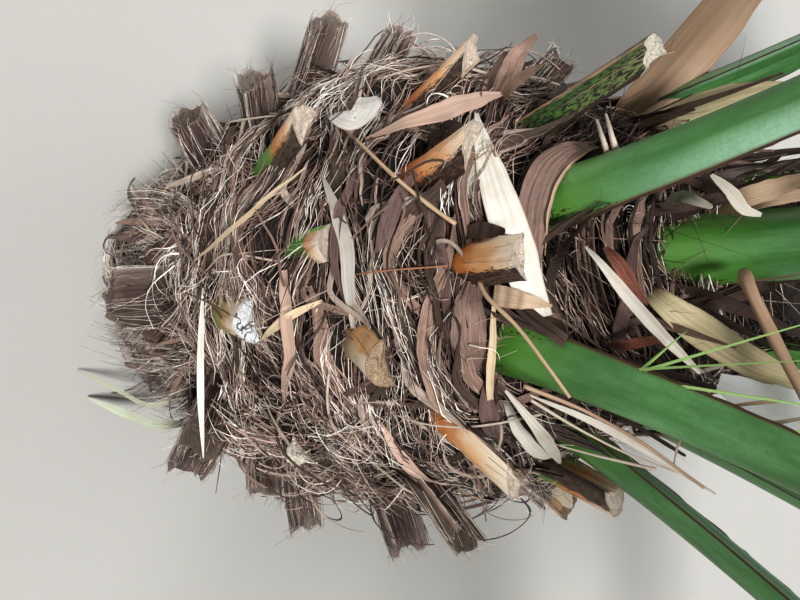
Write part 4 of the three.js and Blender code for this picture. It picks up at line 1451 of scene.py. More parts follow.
# Gaps between the stalks at the viewer's side, where torn sheaths stand: azimuth and height
CROWN_GAPS = [
    (-24, 0.785), (-20, 0.8), (9, 0.825), (13, 0.8),
    (17, 0.79), (21, 0.765), (40, 0.72), (45, 0.735), (50, 0.74), (56, 0.73), (61, 0.725), (67, 0.715),
    (-50, 0.75), (-76, 0.725), (-82, 0.72), (90, 0.72), (98, 0.73),
]


def crown_sheaths(rng):
    """Torn sheaths that stand up between the stalks round the heart, cupped and tapering to ragged tips."""
    far = [rng.uniform(100, 262, FAR_SHEATHS), rng.uniform(*STANDING_HEIGHTS, FAR_SHEATHS)]
    azimuth, height = np.append(np.array(CROWN_GAPS).T, far, axis=1)
    total = len(azimuth)
    side, out = sideways(azimuth), outward(azimuth)
    lead = unit(UP + out * spread(rng, 0.02, 0.38, total) + side * scatter(rng, 0, 0.12, total))
    t = steps(STANDING_STATIONS)
    length = spread(rng, *STANDING_LENGTHS, total)
    bend = side * scatter(rng, 0, 0.15, total) + out * scatter(rng, 0.05, 0.12, total)
    start = on_trunk(azimuth, height, -0.012)
    points = start[:, None] + lead[:, None] * column(length * t) + bend[:, None] * column(length * t**2)
    broad = ragged_widths(spread(rng, *STANDING_WIDTHS, total) * (1 - 0.8 * t**2.2), t, 0.22, 6, 37)
    turn = scatter(rng, 0, 0.3, total) + scatter(rng, 0, 0.5, total) * t
    rings = sweep(points, out[:, None], lens(6, 1.6), broad, 0.0015, turn)
    return rings, 0.2 * t, sheath_tint(rng, azimuth, height)


def sheaths():
    """Straps, flaps, wings and standing sheaths, dealt out by tint into one joined piece each."""
    rng = np.random.default_rng(SHEATH_SEED)
    gathered = {tint: Surface() for tint in SHEATH_TINTS}
    for family in (sheath_straps, torn_flaps, curled_strips, skirt_flaps, sheath_wings, crown_sheaths):
        rings, v, tints = family(rng)
        u = lens(rings.shape[2])[:, 0] + 0.5
        for number, surface in enumerate(gathered.values()):
            chosen = rings[tints == number]
            ids = np.arange(len(chosen))[:, None, None]
            surface.add_tubes(chosen, u + ids * 1.37, v + ids[:, :, 0] * 0.61)
    for tint, surface in gathered.items():
        finish = sheath_finish(tint.replace("_", " ").title(), getattr(settings("fibre"), tint))
        surface.build(tint, [finish], "trunk_fibre", crease=50)


# Leaf bases

BASE_SIDES, BASE_STATIONS = 48, 26
CUT_SCALES = (0.97, 0.88, 0.72, 0.52, 0.3, 0.1)
# How far a cut sinks in its middle against the plain dish, how high its teeth stand in metres, and how much
# farther out its lower side reaches, in shares of the thickness
CUT_SHAPES = {"tan": (-1.6, 0.007, -0.45), "weathered": (2.2, 0.008, 0.0), "grey": (1.6, 0.008, 0.0),
              "dark": (1.4, 0.009, -0.3), "chalky": (-0.5, 0.003, -0.3), "mossy": (1.0, 0.004, -0.5),
              "fresh": (1.0, 0.003, -0.6)}


def leaf_base_rings(row, seed):
    """Rings of one cut leaf base, from inside the skin out to the cut and in to the middle of the cut.

    Stations go along the straight axis. The width goes from a widened foot to the cut as the square
    root of the share, lengthwise ridges and ragged margins are hills over the section, and the cut
    leans, dishes inward as 1 - r^2 and is rough.
    """
    bases = settings("leaf_base")
    azimuth, height, rise, length, foot_width, cut_width, kind = row[:7]
    sunken, teeth, leaning = CUT_SHAPES.get(kind, (1.0, 0.0026, -0.85))
    old = 2.0 if kind in OLD_FINISHES else 1.0
    rng = np.random.default_rng(seed)
    share = column(np.append(steps(BASE_STATIONS), np.ones(len(CUT_SCALES))))
    scale = column(np.append(np.ones(BASE_STATIONS), CUT_SCALES))
    width = mixed(foot_width * FOOT_WIDENING, cut_width, np.sqrt(share))
    across_share, above_share = keeled(BASE_SIDES).T
    turn = np.arange(BASE_SIDES) / BASE_SIDES
    ridges = hills(turn, share, 34, 3, seed + 1) * bases.ridge_height / cut_width
    ragged = 0.05 * old * hills(np.sign(across_share) * 0.2 + 0.5, share, 5, 9, seed + 2)
    ragged = ragged * np.abs(2 * across_share) ** 6
    lumps = 0.035 * old * hills(turn, share, 5, 4, seed + 5)
    x = across_share * (1 + 2 * ridges + ragged + lumps) * scale * width
    y = (above_share + 0.28) * (1 + 3 * ridges + lumps) * scale - 0.28
    y = y * (width * mixed(FOOT_THICKNESS, CUT_THICKNESS, share))
    along, across, above = frames_at(azimuth, rise)
    tilt_x, tilt_y = rng.uniform(-0.22, 0.22), leaning + rng.uniform(-0.12, 0.12)
    cut = share**3 * (tilt_x * x + tilt_y * y)
    dish = sunken * bases.dish_depth * (1 - scale**2)
    rough = np.where(scale < 1, 0.3 * teeth, 0.0) * hills(turn, scale, 26, 7, seed + 3)
    jagged = share**9 * teeth * hills(turn, 0 * share, 21, 2, seed + 4)
    place = (length + FOOT_DEPTH) * share + cut - dish + rough + jagged * scale**4
    rings = (foot_on(azimuth, height, FOOT_DEPTH)
             + column(place) * along + column(x) * across + column(y) * above)
    return rings, across_share + 0.5, np.where(scale < 1, 2 - scale, share)[:, 0]


def leaf_bases():
    """One piece per cut leaf base, with a finish for its sides and one for its cut."""
    bases = settings("leaf_base")
    finishes = {}
    station = np.arange(1, BASE_STATIONS + len(CUT_SCALES))[None, :, None]
    for number, row in enumerate(BOOTS + STUBS, 1):
        kind, side = row[6:]
        if (kind, side) not in finishes:
            finishes[kind, side] = leaf_base_finish(kind, side, bases)
        if kind not in finishes:
            finishes[kind] = cut_finish(kind, bases)
        pair = [finishes[kind, side], finishes[kind]]
        rings, u, v = leaf_base_rings(row, 100 * number)
        on_cut = np.where(station >= BASE_STATIONS, 1, 0)
        piece = tube_piece(f"leaf_base_{number:02d}", rings, u, v, pair, "leaf_base", 40, on_cut)
        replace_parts(piece, f"boot_{number:02d}" if number <= len(BOOTS) else "trunk")


# Fronds

STALK_SIDES, STALK_STATIONS = 24, 96
LEAFLET_STATIONS, MARGIN_STATIONS = 7, 70
FROND_SEED = 700


def rib_width(row, place):
    """Width of stalk and rib: a foot flare that dies out as exp(-place), tapering to the tip as a power."""
    flare = FOOT_FLARE * np.exp(-place / FOOT_FLARE_LENGTH)
    return mixed(row[6] * (1 + flare), RIB_TIP_WIDTH, (place / row[5]) ** RIB_TAPER)


def rib_frames(row, places):
    """Centres and directions along a frond: its rise is rise - bend (place / length)^1.6."""
    foot, height, leans, rise, bend, full = row[:6]

    def rise_at(place):
        return rise - bend * (place / full) ** BEND_POWER

    centres = arc(foot_on(foot, height, FOOT_DEPTH), leans, rise_at, places)
    return (centres,) + frames_at(leans, rise_at(places))


def stalk_piece(number, row, finish):
    """Stalk and rib in one: the keeled section carried along the frond, with the margins a little wavy."""
    share = steps(STALK_STATIONS) ** 1.25
    places = share * row[5]
    centres, _, across, above = rib_frames(row, places)
    width = column(rib_width(row, places))
    across_share, above_share = keeled(STALK_SIDES).T
    wavy = 1 + 0.012 * hills(0.3, column(share), 5, 60, number) * np.abs(2 * across_share) ** 4
    rings = (centres[:, None] + column(across_share * wavy * width) * across[:, None]
             + column(above_share * width * STALK_THICKNESS) * above[:, None])
    piece = tube_piece(f"stalk_{number:02d}", rings, across_share + 0.5, places, [finish], "stalk", 55)
    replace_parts(piece, f"frond_{number:02d}_stalk")


def stalk_margins(finish):
    """The brown dead edge on both margins of each stalk: ribbons, broad at the foot and gone half a metre up.

    A ribbon's width falls from foot to end by a power and is ragged by hills along it.
    """
    surface = Surface()
    share = steps(MARGIN_STATIONS)
    for number, row in enumerate(FRONDS, 1):
        places = mixed(0.02, 0.26 * row[5], share)
        centres, _, across, above = rib_frames(row, places)
        width = rib_width(row, places)
        for side in (-1, 1):
            ragged = 1 + 0.7 * hills(share, 0 * share, 46, 1, 40 * number + side)
            broad = mixed(0.0075, 0.0016, share**0.6) * ragged * (1.15 if side > 0 else 0.85)
            offset = side * (width / 2 - 0.15 * broad)
            lift = 0.1 * STALK_THICKNESS * width - 0.0012
            points = centres + across * column(offset) + above * column(lift)
            rings = sweep(points, -above + 0.6 * side * across, lens(6), broad, 0.0016)
            surface.add_tubes(rings[None], lens(6)[:, 0] + 0.5 + 1.7 * number, places)
    nodes = [f"frond_{number:02d}_stalk" for number in range(1, len(FRONDS) + 1)]
    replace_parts(surface.build("stalk_margins", [finish], "stalk", crease=50), *nodes)


# A leaflet's V: right edge, upper crease, left edge and keel, in shares of width
LEAFLET_SECTION = np.array([[0.5, 0.16], [0.0, 0.02], [-0.5, 0.16], [0.0, -0.03]])


def limb_ways(along, across, above, side, lifted, angle):
    """Ways of leaflets and spines: at an angle off the rib, to a side of it that is lifted off its level."""
    aside = across * column(side * np.cos(lifted)) + above * column(np.sin(lifted))
    return along * column(np.cos(angle)) + aside * column(np.sin(angle))


def leaflet_rings(row, rng, frond):
    """Rings of a frond's leaflets in two ranks.

    Down the rib the length goes as sin(pi s) and the angle from wide to narrow. A leaflet leaves the
    margin at that angle, stands above the rib's level by the opening plus a turn of its cluster,
    sinks as the square of its length, and its width swells to a third of its length and tapers.
    """
    pairs = frond.pairs
    total = 2 * pairs
    share = np.clip(np.repeat(steps(pairs), 2) + rng.normal(0, 0.15 / pairs, total), 0, 1)
    side = np.tile([-1.0, 1.0], pairs)
    size_share = np.sin(np.pi * mixed(*LEAFLET_SWELL, share**LEAFLET_SWELL_POWER))
    length = frond.longest * size_share * rng.uniform(0.92, 1.0, total)
    place = row[5] * mixed(*LEAFLET_SPAN, share)
    centres, along, across, above = rib_frames(row, place)
    cluster = np.tile(np.repeat([-0.26, 0.14, 0.02], 2), pairs // 3 + 1)[:total]
    lifted = frond.opening + cluster + rng.normal(0, 0.07, total)
    angle = np.radians(mixed(*LEAFLET_ANGLES, share)) + rng.normal(0, 0.06, total)
    way = limb_ways(along, across, above, side, lifted, angle)
    facing = unit(np.cross(way, along) * column(-side))
    root = centres + across * column(side * rib_width(row, place) * 0.36)
    t = steps(LEAFLET_STATIONS)
    sag = column(frond.leaflet_sag * rng.uniform(0.4, 1.4, total) * length**2)
    bow = column(rng.normal(0, 0.03, total) * length) * np.sin(np.pi * t)
    points = (root[:, None] + way[:, None] * column(column(length) * t) - UP * column(sag * t**2)
              + along[:, None] * column(bow))
    swell = np.where(
        t < 0.32, 0.5 + 0.5 * np.sin(np.pi / 2 * t / 0.32), np.cos(np.pi / 2 * (t - 0.32) / 0.7) ** 0.8)
    width = column(frond.leaflet_width * size_share**0.55 * rng.uniform(0.85, 1.1, total)) * swell
    return sweep(points, facing[:, None], LEAFLET_SECTION, width, turn=scatter(rng, 0, 0.12, total) * t)


# Spines that show: frond number, distance from the foot, side, length, and how far they stand off
SEEN_SPINES = [
    (2, 0.168, -1, 0.21, 26), (2, 0.172, -1, 0.2, 31), (2, 0.17, -1, 0.07, 48),
    (2, 0.208, -1, 0.2, 12), (2, 0.33, 1, 0.17, 24), (2, 0.336, 1, 0.16, 29),
]
SPINE_FROM, SPINE_PAIRS, SPINE_RADIUS = 0.3, 7, 0.0016
SPINE_LENGTHS, SPINE_ANGLES = (0.07, 0.15), (22, 42)


def spine_rings(row, rng, seen):
    """Rings of the spines on a stalk: thin tapering rods that leave its margins pointing up along it."""
    places = np.repeat(np.linspace(SPINE_FROM, row[5] * LEAFLET_SPAN[0], SPINE_PAIRS, endpoint=False), 2)
    total = len(places)
    unseen = [places + rng.uniform(-0.008, 0.008, total), np.tile([-1.0, 1.0], SPINE_PAIRS),
              rng.uniform(*SPINE_LENGTHS, total), rng.uniform(*SPINE_ANGLES, total)]
    places, side, length, angle = np.append(unseen, np.reshape([s[1:] for s in seen], (-1, 4)).T, axis=1)
    centres, along, across, above = rib_frames(row, places)
    way = limb_ways(along, across, above, side, rng.uniform(0.1, 0.8, len(places)), np.radians(angle))
    root = centres + across * column(side * rib_width(row, places) * 0.47) + above * 0.002
    t = steps(STIFF_STATIONS)
    length = column(length)
    points = root[:, None] + way[:, None] * column(length * t) + UP * column(0.02 * length * t**2)
    return sweep(points, above[:, None], ROUND[4], SPINE_RADIUS * (1.05 - 0.95 * t))


def fronds():
    """Each frond: its stalk and rib as one piece, and its leaflets and spines as another."""
    frond = settings("frond")
    stalk = stalk_finish(frond)
    stalk_margins(sheath_finish("Dead Margin", "4a3528"))
    greens = [leaflet_finish(f"{word} Leaflet", getattr(frond, f"{key}_colour")) for word, key in (
        ("Green", "mid"), ("Fresh", "fresh"), ("Dusky", "dusky"), ("Spine", "spine"))]
    for number, row in enumerate(FRONDS, 1):
        rng = np.random.default_rng(FROND_SEED + number)
        stalk_piece(number, row, stalk)
        surface = Surface()
        rings = leaflet_rings(row, rng, frond)
        tint = rng.choice(3, len(rings), p=(0.5, 0.3, 0.2))
        surface.add_tubes(rings, LEAFLET_SECTION[:, 0] + 0.5, steps(LEAFLET_STATIONS), tint)
        spines = spine_rings(row, rng, [s for s in SEEN_SPINES if s[0] == number])
        surface.add_tubes(spines, np.arange(4) / 4, steps(spines.shape[1]), 3)
        piece = surface.build(f"leaflets_{number:02d}", greens, "leaflet", crease=30)
        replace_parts(piece, f"frond_{number:02d}_blade")


def spear_leaf():
    """The unopened leaf: a slim rod whose radius is pleated as 1 + 0.16 cos(9 a), tapering to its tip."""
    recipe = Finish("Spear Leaf", 0.45)
    streak, ridges = recipe.group(STRANDS, recipe.uv_place(), 40.0, 2.0, 0.8)
    recipe.shown = recipe.shades(streak, settings("frond").spear_colour, 0.7, 1.1)
    finish = recipe.done(None, ridges, 0.0008)
    u = np.arange(SPEAR_SIDES) / SPEAR_SIDES
    share = steps(SPEAR_STATIONS)
    section = circle(SPEAR_SIDES) * column(0.84 + 0.16 * np.cos(SPEAR_PLEATS * (2 * np.pi * u)))
    points = (SPEAR_FOOT + 0.0003) * (LEAN + UP) + column(share * SPEAR_LENGTH) * UP
    rings = sweep(points, outward(0.0), section, mixed(*SPEAR_RADII, share**SPEAR_TAPER), turn=0.9 * share)
    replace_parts(tube_piece("spear", rings, u, share * SPEAR_LENGTH, [finish], "leaflet"), "spear_leaf")


# Dry leaves

def leaf_swell(share, swell, tip=0.12):
    """Width share of a blade along its length: sin(pi s) over a stretch of its arch, at least the tip's."""
    return np.maximum(tip, np.sin(np.pi * mixed(*swell, share)))


def way_over_trunk(way, stations):
    """Azimuths, heights and lifts along a smooth way, from points in degrees and millimetres."""
    way = [(azimuth / 100, high / 1000, 0, azimuth, lift / 1000) for azimuth, high, lift in way]
    return smoothly(way, stations)[:, (3, 1, 4)].T


# Dry blades that lie over the trunk: name, finish, width in metres, stretch of the arch, fold, twist in
# degrees, and their way as azimuth in degrees, height and lift off the plain trunk in millimetres
LAID_BLADES = [
    ("laid_blade", "cream", 0.036, (0.02, 0.8), 1.2, 0,
     [(-43.5, 644, 24), (-27.2, 677, 32), (-9, 710, 42), (6, 721, 34), (17, 719, 14)]),
    ("strip_under", "ash", 0.015, (0.04, 0.8), 1.0, 0,
     [(-38.8, 645, 18), (-26.5, 661, 28), (-16.8, 671, 30), (-7, 674, 16)]),
    ("orange_strip", "straw", 0.008, (0.04, 0.97), 1.0, 0,
     [(6, 684, 12), (19.5, 686, 30), (29.8, 676, 32), (50, 649, 14)]),
    ("pink_blade", "pink", 0.027, (0.04, 0.97), 1.0, 0,
     [(-53.8, 659, 30), (-42, 635, 36), (-34.2, 605, 36), (-31.2, 547, 18)]),
    ("cream_point", "tan", 0.022, (0.5, 0.97), 1.0, 0, [(8.2, 690, 26), (9.5, 717, 44), (12, 744, 46)]),
    ("grey_blade", "grey", 0.017, (0.05, 0.9), 1.3, 10,
     [(-21, 512, 12), (-12, 545, 24), (-4, 560, 24), (6, 558, 18), (14, 550, 8)]),
    ("pink_strip", "pink", 0.017, (0.15, 0.9), 1.5, 50,
     [(0, 474, 12), (10, 488, 24), (19, 486, 28), (26, 458, 24), (33, 426, 10)]),
    ("green_strip", "straw", 0.01, (0.1, 0.95), 1.0, 30, [(7, 524, 14), (10, 490, 24), (16, 428, 14)]),
    ("white_curl", "white", 0.032, (0.2, 0.95), 1.4, 20,
     [(-42.2, 531, 26), (-36, 549, 36), (-32.5, 544, 38), (-34, 522, 34), (-37, 500, 22)]),
    ("plum_sheath", "rose", 0.034, (0.06, 0.94), 1.3, 0,
     [(4, 662, 10), (12, 668, 26), (21, 665, 28), (30, 662, 12)]),
    ("pink_sheath", "plum", 0.019, (0.03, 0.97), 1.6, 0,
     [(29, 670, 12), (38, 664, 28), (48, 652, 26), (56, 640, 10)]),
    ("left_sheath", "plum", 0.017, (0.03, 0.97), 1.3, 20,
     [(-26, 612, 10), (-17, 606, 22), (-7, 597, 22), (6, 588, 8)]),
    ("long_sheath", "plum", 0.012, (0.03, 0.97), 1.3, 0,
     [(-30, 562, 10), (-18, 552, 22), (-4, 546, 24), (8, 548, 12)]),
    ("pink_tongue", "pink", 0.018, (0.03, 0.97), 1.5, 40,
     [(38, 545, 12), (48, 556, 26), (60, 552, 26), (72, 536, 10)]),
    ("stalk_collar", "rose", 0.032, (0.1, 0.94), 1.3, 0,
     [(-49, 742, 10), (-37, 734, 28), (-22.5, 726, 38), (-12.8, 724, 36), (-3, 722, 28), (6, 716, 10)]),
    ("collar_edge", "tan", 0.003, (0.1, 0.9), 1.0, 0,
     [(-47, 748, 14), (-29.5, 744, 36), (-18.5, 740, 43), (-9.8, 737, 38), (-2.8, 726, 14)]),
    ("dark_shield", "dark", 0.015, (0.25, 0.85), 1.3, 0, [(-8, 660, 18), (-8, 690, 46), (-7, 716, 60)]),
    ("long_straw", "straw", 0.0075, (0.05, 0.97), 1.0, 0,
     [(-22.8, 494, 20), (-15, 461, 32), (-8.8, 409, 32), (-3, 310, 20)]),
    ("folded_blade", "ash", 0.016, (0.1, 0.9), 2.0, 20,
     [(42, 668, 12), (54, 676, 32), (66, 680, 34), (78, 690, 16)]),
    ("low_white", "grey", 0.008, (0.1, 0.9), 2.5, 40, [(-28, 170, 14), (-18, 196, 24), (-8, 232, 16)]),
]

# Dry blades in the crown and at the foot: the same, but with their way as points in millimetres
FREE_BLADES = [
    ("wide_tan_blade", "olive", 0.03, (0.15, 0.9), 1.0, 10,
     [(92, -100, 935), (83, -107, 907), (53, -113, 856), (25, -117, 818), (14, -98, 796)]),
    ("white_blade", "snow", 0.036, (0.3, 0.85), 0.8, 0,
     [(122, -130, 975), (115, -126, 943), (107, -119, 904), (95, -112, 868)]),
    ("tan_slip", "tan", 0.018, (0.1, 0.9), 1.0, 0,
     [(-52, -90, 860), (-60, -115, 890), (-67, -112, 917), (-73, -120, 945)]),
    ("tan_sliver", "tan", 0.012, (0.1, 0.9), 1.0, 0,
     [(-50, -86, 870), (-58, -105, 907), (-60, -104, 930), (-61, -103, 960)]),
    ("small_white_1", "ash", 0.011, (0.1, 0.9), 1.2, 20,
     [(-44, -124, 906), (-48, -131, 896), (-63, -136, 886), (-78, -139, 871)]),
    ("small_white_2", "ash", 0.012, (0.1, 0.95), 1.6, 20,
     [(-51, -141, 873), (-56, -139, 862), (-64, -125, 839), (-58, -104, 815)]),
    ("long_white_blade", "ash", 0.011, (0.06, 0.9), 1.5, 10,
     [(-20, -186, 782), (-9, -190, 795), (25, -178, 819), (58, -171, 848), (84, -158, 870)]),
    ("long_cream_blade", "ash", 0.0075, (0.06, 0.94), 1.4, 20,
     [(107, -215, 744), (135, -161, 782), (158, -138, 818), (191, -110, 864)]),
    ("bent_cream_blade", "ash", 0.014, (0.06, 0.94), 1.6, 20,
     [(108, -192, 703), (135, -174, 718), (170, -110, 700), (200, -46, 674)]),
    ("red_sheath_1", "red", 0.013, (0.1, 0.95), 1.6, 10,
     [(-22, -140, 776), (-6, -150, 795), (16, -149, 809), (29, -147, 820)]),
    ("red_sheath_2", "red", 0.01, (0.1, 0.95), 1.6, 10,
     [(58, -140, 838), (60, -138, 818), (65, -135, 793), (66, -122, 770)]),
    ("foot_blade_1", "sage", 0.017, (0.1, 0.95), 1.4, 20,
     [(196, -160, 150), (202, -185, 110), (191, -205, 60), (167, -241, 6)]),
    ("foot_blade_2", "sage", 0.008, (0.1, 0.95), 1.4, 20,
     [(160, -170, 150), (172, -201, 110), (154, -221, 60), (126, -256, 6)]),
    ("slant_blade", "cream", 0.009, (0.06, 0.94), 1.0, 0,
     [(12, -275, 346), (75, -286, 358), (137, -286, 358), (205, -273, 344)]),
    ("dark_flap_1", "brown", 0.022, (0.2, 0.9), 1.4, 10,
     [(-178, -120, 640), (-205, -125, 662), (-234, -100, 660), (-247, -95, 676)]),
    ("dark_flap_2", "brown", 0.016, (0.2, 0.9), 1.4, 10,
     [(-176, -126, 650), (-190, -146, 690), (-196, -150, 716)]),
    ("dark_flap_3", "brown", 0.018, (0.2, 0.9), 1.4, -10,
     [(-172, -118, 620), (-210, -110, 636), (-240, -90, 634)]),
]

# Rods: finish, radius at each end, and points in millimetres
RODS = [
    ("brown_leaf", 0.006, 0.0054,
     [(3, -116, 890), (12, -134, 899), (49, -140, 918), (100, -146, 946), (128, -150, 962)]),
    ("cream", 0.0036, 0.0014, [(-99, -132, 786), (-120, -148, 787), (-145, -133, 773)]),
    ("white", 0.0034, 0.0014, [(-99, -132, 777), (-119, -150, 779), (-140, -137, 766)]),
    ("straw", 0.0022, 0.0015,
     [(10, -228, 700), (21, -236, 713), (46, -238, 745), (82, -236, 777), (104, -230, 792)]),
    ("tan", 0.0022, 0.0012, [(100, -212, 736), (124, -170, 776), (150, -146, 816), (186, -120, 858)]),
    ("cream", 0.0016, 0.0008, [(112, -210, 742), (140, -172, 770), (162, -140, 800), (180, -110, 840)]),
    ("cream", 0.0016, 0.0008,
     [(112, -162, 950), (117, -164, 932), (123, -160, 901), (126, -162, 872), (142, -140, 846),
      (172, -112, 828)]),
    ("straw", 0.0015, 0.0007,
     [(100, -172, 935), (103, -174, 917), (112, -168, 884), (133, -151, 856), (170, -107, 826)]),
    ("cream", 0.0018, 0.0008, [(176, -120, 815), (172, -128, 790), (166, -142, 762), (160, -152, 735)]),
]

# Straws over the trunk: finish, radius at each end, and their way like a laid blade's
STRAWS = [
    ("straw", 0.0024, 0.0015, [(-10, 660, 30), (-24, 580, 36), (-37, 496, 18)]),
    ("cream", 0.0018, 0.001, [(-62, 640, 26), (-57, 570, 30), (-52, 505, 18)]),
    ("cream", 0.0014, 0.0008, [(48, 700, 30), (42, 640, 36), (36, 575, 22)]),
    ("rust", 0.0009, 0.0007, [(0.2, 651, 22), (1.2, 594, 32), (1.8, 551, 16)]),
    ("cream", 0.0017, 0.001, [(-46, 255, 30), (-40, 330, 40), (-40, 410, 22)]),
    ("cream", 0.0016, 0.0009, [(-2, 470, 12), (-4, 400, 26), (-1, 330, 14)]),
    ("cream", 0.0018, 0.001, [(20, 520, 10), (34, 505, 26), (50, 500, 12)]),
]


def blade_piece(number, row, points, facing, finishes):
    """One dry blade: its width swells along it and is a little ragged, and it turns about its own axis."""
    name, finish, broad, swell, fold, twist = row[:6]
    share = steps(len(points))
    width = broad * leaf_swell(share, swell) * (1 + 0.06 * hills(share, 0 * share, 13, 1, 330 + number))
    section, turn = lens(BLADE_SIDES, fold), math.radians(twist) * (share - 0.5)
    rings = sweep(points, facing, section, width, settings("dry").thickness, turn)
    u, v = section[:, 0] + 0.5, share * 0.3 + number
    return tube_piece(name, rings, u, v, [finishes[finish]], "dry_leaf", 60)


def laid_blades(finishes):
    """Blades over the trunk: each follows its own smooth way and faces off it."""
    for number, row in enumerate(LAID_BLADES):
        azimuth, high, lift = way_over_trunk(row[6], LAID_STATIONS)
        wave = 0.0012 * hills(steps(LAID_STATIONS), np.zeros(LAID_STATIONS), 9, 1, 300 + number)
        points = clear_of_trunk(azimuth, high, lift + wave)
        piece = blade_piece(number, row, points, off_trunk(azimuth, high), finishes)
        if row[0] == "laid_blade":
            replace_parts(piece, "dry_leaf_03")


def free_blades(finishes):
    """Blades in the crown and at the foot, whose broad side faces outward, to the front and up."""
    for number, row in enumerate(FREE_BLADES, 40):
        points = smoothly(np.array(row[6]) / 1000, FREE_STATIONS)
        facing = 0.4 * unit(points * (1, 1, 0)) + outward(0.0) * 0.6 + 0.6 * UP
        blade_piece(number, row, points, facing, finishes)


def rods(finishes):
    """Thin dry stems, straws and tendrils, joined by finish."""
    routes = [(*row[:3], smoothly(np.array(row[3]) / 1000, ROD_STATIONS)) for row in RODS]
    routes += [(*row[:3], clear_of_trunk(*way_over_trunk(row[3], ROD_STATIONS))) for row in STRAWS]
    share = steps(ROD_STATIONS)
    gathered = {}
    for number, (finish, thick, thin, points) in enumerate(routes):
        radius = mixed(thick, thin, share) * (1 + 0.08 * hills(share, 0 * share, 19, 1, 400 + number))
        rings = sweep(points, UP + 0.2, ROUND[6], radius)
        gathered.setdefault(finish, Surface()).add_tubes(rings[None], np.arange(6) / 6 + number, share * 0.3)
    for finish, surface in gathered.items():
        surface.build(f"{finish}_stems", [finishes[finish]], "dry_leaf")


FAR_BLADES, FAR_SEED = 34, 77
FAR_AZIMUTHS, FAR_HEIGHTS, FAR_LENGTHS = (98, 262), (0.2, 0.72), (0.07, 0.22)
STRAW_WIDTHS, FAR_WIDTHS = (0.003, 0.006), (0.012, 0.03)
FAR_FINISHES = ("cream", "tan", "pink", "straw", "white")


def far_blades(finishes):
    """Dry blades and straws over the far side, at seeded spots, joined by finish."""
    rng = np.random.default_rng(FAR_SEED)
    total = FAR_BLADES
    azimuth, height = rng.uniform(*FAR_AZIMUTHS, total), rng.uniform(*FAR_HEIGHTS, total)
    way = rng.choice([-1.0, 1.0], total)
    trail, high = trails(
        rng, azimuth, height, way, rng.normal(0, 0.6, total), rng.normal(0, 0.2, total),
        np.full(total, 0.02), rng.uniform(*FAR_LENGTHS, total), FAR_STATIONS)
    t = steps(FAR_STATIONS)
    lift = 0.01 + spread(rng, 0.012, 0.026, total) * np.sin(np.pi * t)
    points = above_ground(clear_of_trunk(trail, high, lift))
    slim = rng.uniform(0, 1, total) < 0.4
    broad = column(np.where(slim, rng.uniform(*STRAW_WIDTHS, total), rng.uniform(*FAR_WIDTHS, total)))
    broad, turn = broad * leaf_swell(t, (0.06, 0.94)), scatter(rng, 0, 0.3, total) * t
    section = lens(BLADE_SIDES, 1.3)
    rings = sweep(points, off_trunk(trail, high), section, broad, settings("dry").thickness, turn)
    for number, word in enumerate(FAR_FINISHES):
        surface, chosen = Surface(), rings[number::len(FAR_FINISHES)]
        surface.add_tubes(chosen, section[:, 0] + 0.5 + np.arange(len(chosen))[:, None, None], 0.2 * t)
        surface.build(f"far_{word}_blades", [finishes[word]], "dry_leaf", crease=60)


# Old leaves that rise from the mat: the frame's node, finish, foot azimuth, height, azimuth it leans to,
# rise at the foot and at the tip, length, width and turn about its own axis in radians
RISEN_BLADES = [
    ("dry_leaf_01", "brown_leaf", -104, 0.69, -98, 46, 38, 0.32, 0.068, -0.6),
    ("dry_leaf_02", "olive", -84, 0.742, -62, 72, 82, 0.17, 0.054, 0.9),
]
RISEN_SWELL = (0.22, 0.96)
# Sides of the section of a dry blade and of a risen one
BLADE_SIDES, RISEN_SIDES = 14, 20
# Stations along a blade over the trunk, a free one, a rod or risen blade, and one on the far side
LAID_STATIONS, FREE_STATIONS, ROD_STATIONS, FAR_STATIONS = 34, 30, 40, 20


def risen_blades(finishes):
    """Two broad old blades that stand up beside the stalks, cupped, with torn edges."""
    share = steps(ROD_STATIONS)
    section = lens(RISEN_SIDES, 3.0)
    for number, row in enumerate(RISEN_BLADES):
        node, finish, foot, height, leans, rise, end, length, broad, turned = row

        def rise_at(place):
            return mixed(rise, end, place / length)

        places = share * length
        points = arc(foot_on(foot, height, FOOT_DEPTH / 2), leans, rise_at, places)
        above = frames_at(leans, rise_at(places))[2]
        ragged = 1 + 0.04 * hills(share, 0 * share, 17, 1, 360 + number)
        width = broad * leaf_swell(share, RISEN_SWELL, 0.06) * ragged
        turn = 0.25 * np.sin(2.5 * share) + turned
        rings = sweep(points, above, section, width, settings("dry").thickness * 1.2, turn)
        u = section[:, 0] + 0.5
        name = f"risen_blade_{number + 1}"
        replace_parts(tube_piece(name, rings, u, places + number, [finishes[finish]], "dry_leaf", 60), node)


# Finishes of dry blades besides those in the settings: word and colour
MORE_DRY = {"grey": "aeaaa2", "ash": "bdb8ad", "sage": "a8b09c", "olive": "c4b894", "rust": "a0623a"}


def dry_leaves():
    """Every dry blade, with a finish shared by those of a kind."""
    fibre = settings("fibre")
    words = ("cream", "tan", "pink", "straw", "white", "brown_leaf")
    shades = {word: getattr(settings("dry"), f"{word}_colour") for word in words} | MORE_DRY
    finishes = {word: dry_finish(f"Dry Leaf {word.title()}", shade) for word, shade in shades.items()}
    finishes |= {
        # Painted light: a blade painted full white with faint veins and blotches, brighter than a bleached
        # one, to read as brightly lit though it stands in shade
        "snow": dry_finish("Dry Leaf Snow", "fbfbff", 0.25),
        "plum": sheath_finish("Broad Plum Sheath", fibre.sheath_plum),
        "brown": sheath_finish("Broad Brown Sheath", fibre.sheath_brown),
        "red": sheath_finish("Young Red Sheath", "75483a"),
        "rose": sheath_finish("Rosy Sheath", "6c574e"),
        "dark": sheath_finish("Broad Dark Sheath", "3b2b24"),
    }
    for make in (laid_blades, free_blades, rods, far_blades, risen_blades):
        make(finishes)


# Stage

